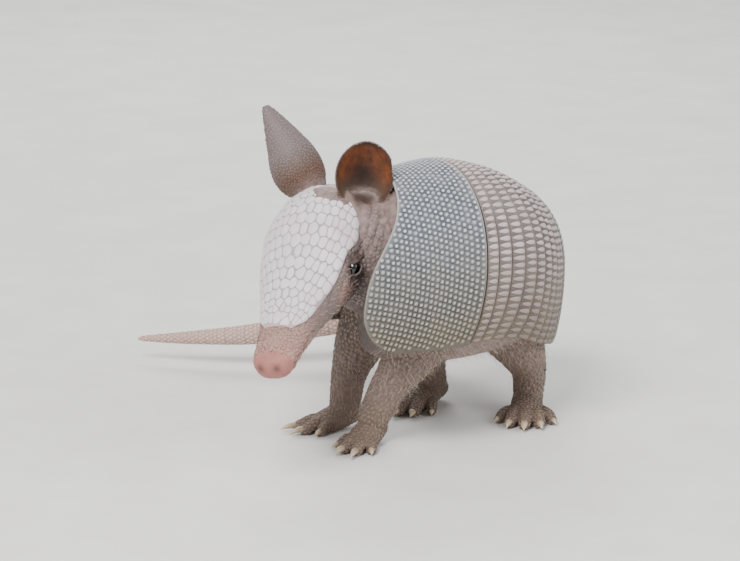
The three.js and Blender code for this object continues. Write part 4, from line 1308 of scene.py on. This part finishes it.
# %% Backs of the ears
for k, name in enumerate(EARS):
    root, axis = EARS[name][:2]
    chosen = ((distance(p, root + axis / 2) < EAR_NEAR) & (regions["ear"] > 0.5) & (regions["hollow"] < 0.5)
              & (regions["up"] > 0.1))
    rise = (p - root) @ unit(axis) / np.linalg.norm(axis)
    side = (p - root) @ ear_axes(name)[4]
    ear_spot = np.stack([0.46 + 0.24 * k + 0.008 * (side + 14), 0.75 + 0.22 * rise], -1)
    scale_coat(f"ear_pebbles_{name}", chosen, 0.85, np.tile(unit(axis), (len(p), 1)), lowered(SCALE, 0.5),
               (f"ear_{name}",), "ear_skin", "ear pebbles", ear_spot, stretch=1.0, sides=6, tilt=0.0,
               flush=1 - step(regions["up"], 0.2, 0.45))

# %% [markdown]
# ### Sparse hairs
# The belly, cheeks and legs carry thin pale hairs, and a few stand out from under the edge of the shell. Each
# is one long three-sided cone, bent a little by its lie.

# %% Hairs
THIRDS = (0, 2.094, 4.189)      # three directions a third of a turn apart, in radians
HAIR_POINTS = 7                 # two rings of three and the tip


def hairs(name, chosen, spacing, lie, length, nodes, spots):
    """Hairs rooted on picked points: a cone in two steps whose tip is carried along the lie and down a little."""
    i = picked(chosen, spacing)
    normal = unit(n[i])
    flow = unit(lie[i] - normal * (lie[i] * normal).sum(1, keepdims=True) + rng.normal(0, 0.25, (len(i), 3)))
    long = length * (0.6 + 0.8 * rng.random((len(i), 1)))
    across = unit(np.cross(normal, flow))
    up = np.cross(flow, across)
    levels = [(p[i] - 0.15 * normal, 0.055), (p[i] + long * (0.28 * normal + 0.38 * flow), 0.04)]
    tip = p[i] + long * (0.34 * normal + 0.94 * flow - [0, 0, 0.12])
    rings = [c[:, None] + r * (math.cos(a) * across + math.sin(a) * up)[:, None]
             for c, r in levels for a in THIRDS]
    block = np.concatenate(rings + [tip[:, None]], 1)
    j = np.arange(3)
    quads = np.stack([j, (j + 1) % 3, (j + 1) % 3 + 3, j + 3], -1)
    fans = np.concatenate([np.stack([j + 3, (j + 1) % 3 + 3, np.full(3, 6)], -1), [[2, 1, 0]]])
    start = (np.arange(len(i)) * HAIR_POINTS)[:, None, None]
    points, faces = outward(block.reshape(-1, 3), [(quads + start).reshape(-1, 4), (fans + start).reshape(-1, 3)])
    corners = np.array([[-1, -1], [1, -1], [0, 1]] * 2 + [[0, 0]]) * 0.0012
    around = np.repeat(spots[i], HAIR_POINTS, 0) + np.tile(corners, (len(i), 1))
    mesh = to_mesh(name, points, faces, {"tone": np.repeat(rng.random(len(i)), HAIR_POINTS)}, around)
    return piece(name, mesh, "skin", "pale hair", *nodes)


belly = (np.abs(shell_deg) > 119) & (p[:, 2] > 26) & (shell_share < 1.1) & (s > -30) & (s < 74)
back_down = np.tile(np.array([0.1, 0.75, -0.65]), (len(p), 1))
belly_spot = shell_patch(np.stack([s, np.clip(shell_deg, -SHELL_SIDE, SHELL_SIDE)], -1))
hairs("belly_hairs", belly, 2.1, back_down, 5.0, ("trunk",), belly_spot)
hairs("leg_hairs", on_leg & (p[:, 2] > 9), 3.4, leg_lie, 4.0, LEG_NODES, leg_spot)
hairs("cheek_hairs", on_face & (np.abs(head_deg) > 75), 2.6, backwards, 3.2, ("head",), face_spot)

# %% [markdown]
# ## Eyes and claws
# The eye is a wet black ball with a slightly steeper clear front. Claws are curved cones of horn, flattened
# from side to side and set into the toes. Both are lofts through rings, so they stay smooth close up.

# %% Eyes
for side, name in ((1, "left"), (-1, "right")):
    gaze, corner, up = eye_axes(side)
    off = np.radians(np.concatenate([np.linspace(3, 60, 20), np.linspace(66, 176, 14)]))
    bulge = BALL + 0.16 * np.cos(np.clip(off / math.radians(42), 0, 1) * math.pi / 2) ** 2
    turn = np.linspace(0, 2 * math.pi, 40, endpoint=False)[None, :, None]
    reach = (bulge * np.sin(off))[:, None, None]
    rings = (eye_centres[side] + (bulge * np.cos(off))[:, None, None] * gaze
             + reach * (np.cos(turn) * corner + np.sin(turn) * up))
    points, faces = loft(rings, eye_centres[side] + gaze * bulge[0], eye_centres[side] - gaze * BALL)
    look = (points - eye_centres[side]) @ gaze / BALL
    piece(f"eyeball_{name}", to_mesh("eyeball", points, faces, {"front": look}), "eye", "wet eye", f"eye_{name}")

# %% [markdown]
# ### Claws
# A claw is a blunt digging nail: a cone of horn that arches a little and comes down to the ground. It is a tube
# along a short path, narrowing to its tip, and its height over the floor is held so that it never sinks in.

# %% Claws
def claw_path(leg, toe):
    """A claw's path from its root in the toe, over a slight arch and down to its tip, each with a radius."""
    deg, reach, r, claw = toe
    a, start = deg * LEGS[leg][4], LEGS[leg][3] + reach * 0.82
    stops = [(-0.6, r * 0.92, r * 0.6), (claw * 0.5, r * 0.95, r * 0.47),
             (claw * 0.85, r * 0.62 + 0.2, r * 0.22), (claw, r * 0.42 + 0.3, 0.22)]
    return [foot_point(leg, a, start + ahead, z, radius) for ahead, z, radius in stops]


for leg in LEGS:
    for i, toe in enumerate(LEGS[leg][2]):
        path = claw_path(leg, toe)
        points, faces = tube(path, path_radius(path), 26, sides=18, flat=0.9)
        points[:, 2] = np.maximum(points[:, 2], 0.05)
        share = np.linalg.norm(points - np.array(path[0][:3]), axis=1) / (toe[3] + 0.6)
        piece(f"horn_{leg}_{i + 1}", to_mesh("horn", points, faces, {"tip": share}), "claw", "claw horn",
              f"claw_{leg}_{i + 1}")

# %% [markdown]
# ## Materials
# Everything is procedural and reads the object's own coordinates and the masks above. Effects that several
# materials share, such as fine grain and the dust low on the body, are node groups. Colours are given as a painter
# would read them off a screen and turned into light values by one function.

# %% Node helpers
def srgb(r, g, b):
    """A screen colour from 0 to 255 as linear light: below 0.04 the value over 12.92, else a power of 2.4."""
    return tuple(c / 255 / 12.92 if c <= 10 else ((c / 255 + 0.055) / 1.055) ** 2.4 for c in (r, g, b)) + (1,)


def put(tree, kind, inputs=None, **settings):
    """A node with its settings and inputs. An input is a value or another node's output."""
    n = tree.nodes.new(kind)
    for key, value in settings.items():
        setattr(n, key, value)
    for key, value in (inputs or {}).items():
        if isinstance(value, bpy.types.NodeSocket):
            tree.links.new(value, n.inputs[key])
        else:
            n.inputs[key].default_value = value
    return n


def mask(tree, name):
    """The mask of that name on the mesh."""
    return put(tree, "ShaderNodeAttribute", attribute_name=name).outputs["Fac"]


def blend(tree, factor, a, b, how="MIX"):
    """Colour a, and b laid over it by the factor."""
    return put(tree, "ShaderNodeMix", {0: factor, 6: a, 7: b}, data_type="RGBA", blend_type=how).outputs[2]


def sums(tree, how, a, b=0.0):
    """One step of arithmetic on two values, such as ADD or MULTIPLY."""
    return put(tree, "ShaderNodeMath", {0: a, 1: b}, operation=how).outputs[0]


def spread(tree, value, low, high, to_low=0.0, to_high=1.0):
    """The value's range low to high stretched over another range, and clamped."""
    return put(tree, "ShaderNodeMapRange", {"Value": value, "From Min": low, "From Max": high, "To Min": to_low,
                                            "To Max": to_high}).outputs["Result"]


def noise(tree, where, scale, detail=3.0, rough=0.5):
    """Smooth noise with so many cells to a metre, and finer layers over it, each weaker by rough."""
    return put(tree, "ShaderNodeTexNoise", {"Vector": where, "Scale": scale, "Detail": detail,
                                            "Roughness": rough}).outputs["Fac"]


def where_of(tree):
    """The object's own coordinates, in metres."""
    return put(tree, "ShaderNodeTexCoord").outputs["Object"]


def material(name, **settings):
    """The tree and the fresh Principled shader of the named material."""
    m = bpy.data.materials.get(name) or bpy.data.materials.new(name)
    m.use_nodes = True
    m.node_tree.nodes.clear()
    body = put(m.node_tree, "ShaderNodeBsdfPrincipled", {k.replace("_", " "): v for k, v in settings.items()})
    out = m.node_tree.nodes.new("ShaderNodeOutputMaterial")
    m.node_tree.links.new(body.outputs[0], out.inputs[0])
    return m.node_tree, body


def group(name, inputs, outputs, build):
    """A node group with named inputs (name, kind, default) and outputs (name, kind). build is given the tree and
    the inputs by name and returns the outputs by name."""
    tree = bpy.data.node_groups.new(name, "ShaderNodeTree")
    for label, kind, default in inputs:
        tree.interface.new_socket(label, in_out="INPUT", socket_type=kind).default_value = default
    for label, kind in outputs:
        tree.interface.new_socket(label, in_out="OUTPUT", socket_type=kind)
    source, sink = tree.nodes.new("NodeGroupInput"), tree.nodes.new("NodeGroupOutput")
    for label, socket in build(tree, source.outputs).items():
        tree.links.new(socket, sink.inputs[label])
    return tree


def use(tree, shared, **inputs):
    """The outputs of a shared node group placed in a material's tree."""
    n = tree.nodes.new("ShaderNodeGroup")
    n.node_tree = shared
    for key, value in inputs.items():
        if isinstance(value, bpy.types.NodeSocket):
            tree.links.new(value, n.inputs[key])
        else:
            n.inputs[key].default_value = value
    return n.outputs


def finished(tree, body, g, colour, smooth, rough):
    """Gives the shader its colour and the grain's normal, and the fine pores a roughness from smooth to rough."""
    tree.links.new(colour, body.inputs["Base Color"])
    tree.links.new(g["Normal"], body.inputs["Normal"])
    tree.links.new(spread(tree, g["Fine"], 0.3, 0.7, smooth, rough), body.inputs["Roughness"])


print("a middle grey of 128 is", round(srgb(128, 128, 128)[0], 3), "as light")

# %% [markdown]
# ### Grain and dust
# Skin and horn both have fine pores, and dust gathers low on the animal. Each effect is one node group with its
# own named inputs, so every material can use it with its own size and strength.

# %% Grain and dust, shared by several materials
def build_grain(tree, given):
    """Fine pores from noise at two sizes, as a mask and as a bumped normal."""
    where = where_of(tree)
    fine = noise(tree, where, given["Scale"], 4.0, 0.6)
    broad = noise(tree, where, sums(tree, "MULTIPLY", given["Scale"], 0.17), 2.0)
    height = sums(tree, "ADD", fine, sums(tree, "MULTIPLY", broad, 0.7))
    bump = put(tree, "ShaderNodeBump", {"Strength": given["Strength"], "Distance": given["Depth"],
                                        "Height": height})
    return {"Fine": fine, "Broad": broad, "Normal": bump.outputs[0]}


def build_dust(tree, given):
    """Dust in patches, thicker where the mask is."""
    patchy = spread(tree, noise(tree, where_of(tree), given["Scale"], 5.0, 0.65), 0.42, 0.68)
    amount = sums(tree, "MULTIPLY", patchy, given["Mask"])
    return {"Amount": amount, "Color": blend(tree, amount, given["Color"], given["Dust"])}


VALUE, COLOUR, VECTOR = "NodeSocketFloat", "NodeSocketColor", "NodeSocketVector"
grain = group("fine grain", [("Scale", VALUE, 3000.0), ("Strength", VALUE, 0.3), ("Depth", VALUE, 0.0002)],
              [("Fine", VALUE), ("Broad", VALUE), ("Normal", VECTOR)], build_grain)
dust = group("settled dust", [("Scale", VALUE, 120.0), ("Mask", VALUE, 0.5), ("Color", COLOUR, (1, 1, 1, 1)),
                              ("Dust", COLOUR, srgb(134, 118, 96))],
             [("Amount", VALUE), ("Color", COLOUR)], build_dust)
print("shared groups:", grain.name, "and", dust.name)

# %% [markdown]
# ### Skin
# The skin is grey-brown, pink on the muzzle and tail, and a painted warm brown glow where light comes through
# the hollow of an ear. Painted shade darkens the middle of that hollow, the funnel before each ear, the throat,
# the chest, the skin under the shell, the creases round the eyes and the nostrils. Painting a texture would be
# the usual way. Here each region is a mask on the mesh, and the colours are laid over each other in turn, which
# needs no image.

# %% Skin
tree, body = material("living skin", Roughness=0.62, Subsurface_Weight=0.12, Subsurface_Scale=0.002)
body.inputs["Subsurface Radius"].default_value = (1.0, 0.45, 0.3)
where = where_of(tree)
g = use(tree, grain, Scale=2600.0, Strength=0.35, Depth=0.00025)
base = blend(tree, spread(tree, g["Broad"], 0.35, 0.65), srgb(112, 94, 90), srgb(140, 120, 114))
base = blend(tree, mask(tree, "low"), base, srgb(112, 92, 80))
folds = spread(tree, noise(tree, where, 520.0, 4.0, 0.7), 0.38, 0.62)
base = blend(tree, mask(tree, "pink"), base, blend(tree, folds, srgb(122, 92, 76), srgb(176, 138, 124)))
base = blend(tree, mask(tree, "crown"), base, srgb(178, 162, 160))
base = blend(tree, mask(tree, "nose"), base, srgb(164, 106, 98))
base = blend(tree, mask(tree, "tail"), base, srgb(206, 168, 156))
back = blend(tree, spread(tree, mask(tree, "up"), 0.2, 0.5), srgb(78, 54, 40), srgb(104, 92, 90))
veins = spread(tree, noise(tree, where, 300.0, 4.0, 0.7), 0.35, 0.65)
# Painted glow: warm brown where light comes through the thin ear, over fine veins.
glow = blend(tree, veins, srgb(84, 50, 32), srgb(136, 76, 42))
hollow = blend(tree, spread(tree, mask(tree, "up"), 0.2, 0.42), srgb(84, 68, 56), glow)
# Painted shade deep in the middle of the ear's hollow.
hollow = blend(tree, mask(tree, "hollow_shade"), hollow, srgb(40, 22, 16))
hollow = blend(tree, sums(tree, "MULTIPLY", mask(tree, "edge"), 0.85), hollow, srgb(66, 52, 42))
ear = blend(tree, mask(tree, "hollow"), back, hollow)
base = blend(tree, sums(tree, "MULTIPLY", mask(tree, "ear"), spread(tree, mask(tree, "up"), 0.04, 0.2)), base, ear)
# Painted shade in the funnel just in front of each ear.
base = blend(tree, mask(tree, "funnel_shade"), base, srgb(68, 54, 46))
base = blend(tree, sums(tree, "MULTIPLY", mask(tree, "lid"), 0.8), base, srgb(66, 52, 50))
# Painted shade: the dark mask darkens throat, chest, the skin under the shell, eye creases and nostrils.
base = blend(tree, mask(tree, "dark"), base, srgb(58, 48, 44))
freckles = spread(tree, noise(tree, where, 420.0, 3.0, 0.7), 0.60, 0.70)
base = blend(tree, sums(tree, "MULTIPLY", freckles, 0.3), base, srgb(104, 74, 60))
dusty = use(tree, dust, Scale=150.0, Mask=sums(tree, "MULTIPLY", mask(tree, "low"), 0.6), Color=base)
finished(tree, body, g, dusty["Color"], 0.5, 0.72)
print("nodes in the skin's material:", len(tree.nodes))

# %% [markdown]
# ### Horn
# Horn is one material with three colourings: blue-grey with pale bosses on the shields, warm grey on the bands
# and whitish pink on the head. Each scute gets its own shade from a random value kept on its mesh, and the
# shell is dustier, browner and darker towards its lower edge, the darkening partly painted shade.

# %% Horn of the shields, bands and head
def horn(name, ground, boss, worn, rim_colour):
    """Horny scutes: ground and boss colours parted by the mid mask, each scute a shade of its own, wear in
    patches and a paler rim."""
    tree, body = material(name, Roughness=0.5, Specular_IOR_Level=0.35)
    g = use(tree, grain, Scale=3400.0, Strength=0.22, Depth=0.00015)
    tone = mask(tree, "tone")
    dark = blend(tree, tone, ground, blend(tree, 0.25, ground, boss))
    light = blend(tree, tone, boss, blend(tree, 0.55, boss, worn))
    colour = blend(tree, spread(tree, mask(tree, "mid"), 0.1, 0.8), dark, light)
    patchy = spread(tree, noise(tree, where_of(tree), 45.0, 4.0, 0.6), 0.4, 0.7)
    colour = blend(tree, sums(tree, "MULTIPLY", patchy, 0.35), colour, worn)
    colour = blend(tree, sums(tree, "MULTIPLY", mask(tree, "rim"), 0.7), colour, rim_colour)
    return tree, body, g, colour


def height_of(tree):
    """Height above the floor in metres."""
    return put(tree, "ShaderNodeSeparateXYZ", {0: where_of(tree)}).outputs[2]


tree, body, g, colour = horn("shield horn", srgb(74, 80, 88), srgb(196, 198, 202), srgb(142, 140, 144),
                             srgb(186, 178, 172))
# Darker and olive towards the bottom: partly the lower shell's own browner colour and dust, partly painted shade.
low = spread(tree, height_of(tree), 0.096, 0.050)
olive = blend(tree, mask(tree, "mid"), srgb(80, 74, 58), srgb(142, 130, 102))
colour = blend(tree, sums(tree, "MULTIPLY", low, 0.75), colour, olive)
dusty = use(tree, dust, Scale=90.0, Mask=sums(tree, "MULTIPLY", low, 0.35), Color=colour)
finished(tree, body, g, dusty["Color"], 0.42, 0.6)

tree, body, g, colour = horn("band horn", srgb(94, 84, 82), srgb(196, 183, 181), srgb(164, 148, 143),
                             srgb(162, 146, 140))
# Darker and browner towards the bottom: partly dust and dirt, partly painted shade.
low = spread(tree, height_of(tree), 0.086, 0.044)
colour = blend(tree, sums(tree, "MULTIPLY", low, 0.8), colour, srgb(98, 86, 70))
dusty = use(tree, dust, Scale=90.0, Mask=sums(tree, "MULTIPLY", low, 0.5), Color=colour)
finished(tree, body, g, dusty["Color"], 0.42, 0.6)

tree, body, g, colour = horn("head horn", srgb(150, 138, 146), srgb(224, 214, 218), srgb(206, 190, 196),
                             srgb(198, 166, 158))
body.inputs["Subsurface Weight"].default_value = 0.08
body.inputs["Subsurface Scale"].default_value = 0.0015
freckles = spread(tree, noise(tree, where_of(tree), 60.0, 4.0, 0.65), 0.56, 0.72)
colour = blend(tree, sums(tree, "MULTIPLY", freckles, 0.45), colour, srgb(190, 164, 170))
finished(tree, body, g, colour, 0.42, 0.58)
print("horn:", [m.name for m in bpy.data.materials if m.name.endswith("horn") and m.use_nodes])

# %% [markdown]
# ### Small scales and hairs
# These are the same horn again, in the colours of the skin they grow from, so that scales and skin carry the
# same markings. The hairs are a plain pale brown that varies from hair to hair.

# %% Scales and hairs of the soft parts
halfway = lambda a, b: tuple((x + y) / 2 for x, y in zip(a, b))
for name, low_colour, high_colour, worn in (
        ("tail horn", srgb(150, 118, 104), srgb(206, 182, 172), srgb(158, 128, 108)),
        ("leg horn", srgb(90, 74, 64), srgb(132, 113, 101), srgb(106, 87, 70)),
        ("ear pebbles", srgb(96, 84, 82), srgb(136, 122, 120), srgb(104, 68, 46)),
        ("face horn", srgb(88, 74, 70), srgb(130, 114, 110), srgb(178, 138, 126))):
    tree, body, g, colour = horn(name, low_colour, high_colour, halfway(low_colour, high_colour), worn)
    finished(tree, body, g, colour, 0.5, 0.68)

tree, body = material("pale hair", Roughness=0.5, Specular_IOR_Level=0.4)
colour = blend(tree, mask(tree, "tone"), srgb(176, 160, 140), srgb(226, 216, 198))
tree.links.new(colour, body.inputs["Base Color"])
print("nodes in the hairs' material:", len(tree.nodes))

# %% [markdown]
# ### Claw horn and the wet eye
# Claws are mottled, and paler at the tip. The eye is almost black, and what makes it look alive is its gloss: a
# low roughness and a thin clear coat over it.

# %% Claws and eyes
tree, body = material("claw horn", Roughness=0.35, Specular_IOR_Level=0.5)
mottle = noise(tree, where_of(tree), 900.0, 3.0, 0.6)
colour = blend(tree, spread(tree, mask(tree, "tip"), 0.1, 1.0), srgb(132, 104, 84), srgb(206, 188, 160))
colour = blend(tree, spread(tree, mottle, 0.45, 0.7, 0.0, 0.5), colour, srgb(118, 94, 74))
tree.links.new(colour, body.inputs["Base Color"])
bump = put(tree, "ShaderNodeBump", {"Strength": 0.3, "Distance": 0.0001, "Height": mottle})
tree.links.new(bump.outputs[0], body.inputs["Normal"])

tree, body = material("wet eye", Roughness=0.12, Specular_IOR_Level=0.45, Coat_Weight=0.6, Coat_Roughness=0.02)
iris = spread(tree, mask(tree, "front"), 0.62, 0.80)
colour = blend(tree, iris, srgb(40, 28, 24), srgb(6, 5, 6))
colour = blend(tree, sums(tree, "MULTIPLY", noise(tree, where_of(tree), 1400.0), 0.12), colour, srgb(30, 20, 16))
tree.links.new(colour, body.inputs["Base Color"])
print("materials:", [m.name for m in bpy.data.materials])

# %% [markdown]
# ## Floor, light and camera
# The model stands on a plain pale floor in the light of a few large soft lamps, as in a studio. A soft key from
# above and in front shows the relief of the scutes, and wide fills keep the belly readable.

# %% Floor, lamps, world and camera
FLOOR_LINES, FLOOR_THICK = np.linspace(-1500, 1500, 31), 4.0
x, y = np.meshgrid(FLOOR_LINES, FLOOR_LINES, indexing="ij")
top = np.stack([x, y, 0 * x], -1) - SHIFT
points, faces = slab(top, top - [0, 0, FLOOR_THICK])
floor = bpy.data.objects.new("floor", to_mesh("floor", points, faces))
bpy.context.scene.collection.objects.link(floor)
tree, body = material("pale floor", Roughness=0.8, Specular_IOR_Level=0.2)
g = use(tree, grain, Scale=160.0, Strength=0.15, Depth=0.0004)
colour = blend(tree, spread(tree, g["Broad"], 0.3, 0.7), srgb(222, 220, 216), srgb(229, 228, 224))
tree.links.new(colour, body.inputs["Base Color"])
tree.links.new(g["Normal"], body.inputs["Normal"])
floor.data.materials.append(bpy.data.materials["pale floor"])
floor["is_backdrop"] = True


def lamp(name, place, aim, size, power, colour=(1, 1, 1)):
    """A square soft lamp at a place, turned towards its aim."""
    light = bpy.data.lights.new(name, "AREA")
    light.size, light.energy, light.color = size, power, colour
    thing = bpy.data.objects.new(name, light)
    thing.location = place
    thing.rotation_euler = (Vector(aim) - Vector(place)).to_track_quat("-Z", "Y").to_euler()
    bpy.context.scene.collection.objects.link(thing)


lamp("key", (0.35, -0.75, 0.95), (0, 0, 0.06), 0.5, 19, (1, 0.985, 0.96))
lamp("fill", (1.0, 0.35, 0.55), (0, 0, 0.05), 0.8, 7, (0.95, 0.975, 1))
lamp("back", (-0.7, 0.6, 0.8), (0, 0, 0.06), 0.6, 9)
world = bpy.data.worlds.new("soft room")
world.use_nodes = True
world.node_tree.nodes["Background"].inputs["Color"].default_value = (0.82, 0.86, 0.9, 1)
world.node_tree.nodes["Background"].inputs["Strength"].default_value = 0.7
bpy.context.scene.world = world

CAMERA_AIM, CAMERA_WAY = Vector((0.04955, -0.01122, 0.0663)), Vector((0.6846, -0.6846, 0.2504)).normalized()
CAMERA_FAR = 1.5                # metres from the aim
camera = bpy.data.objects.new("camera", bpy.data.cameras.new("camera"))
camera.data.lens, camera.data.sensor_width, camera.data.clip_start = 178.05, 36, 0.01
camera.location = CAMERA_AIM + CAMERA_FAR * CAMERA_WAY
camera.rotation_euler = CAMERA_WAY.to_track_quat("Z", "Y").to_euler()
bpy.context.scene.collection.objects.link(camera)
bpy.context.scene.camera = camera
print("lamps:", len(bpy.data.lights), "and a lens of", round(camera.data.lens), "mm")

# %% Sizes and finish
plain = lambda box: [[round(float(v), 5) for v in corner] for corner in box]
{"solids": plain(cad_box), "dressed": plain(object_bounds())}
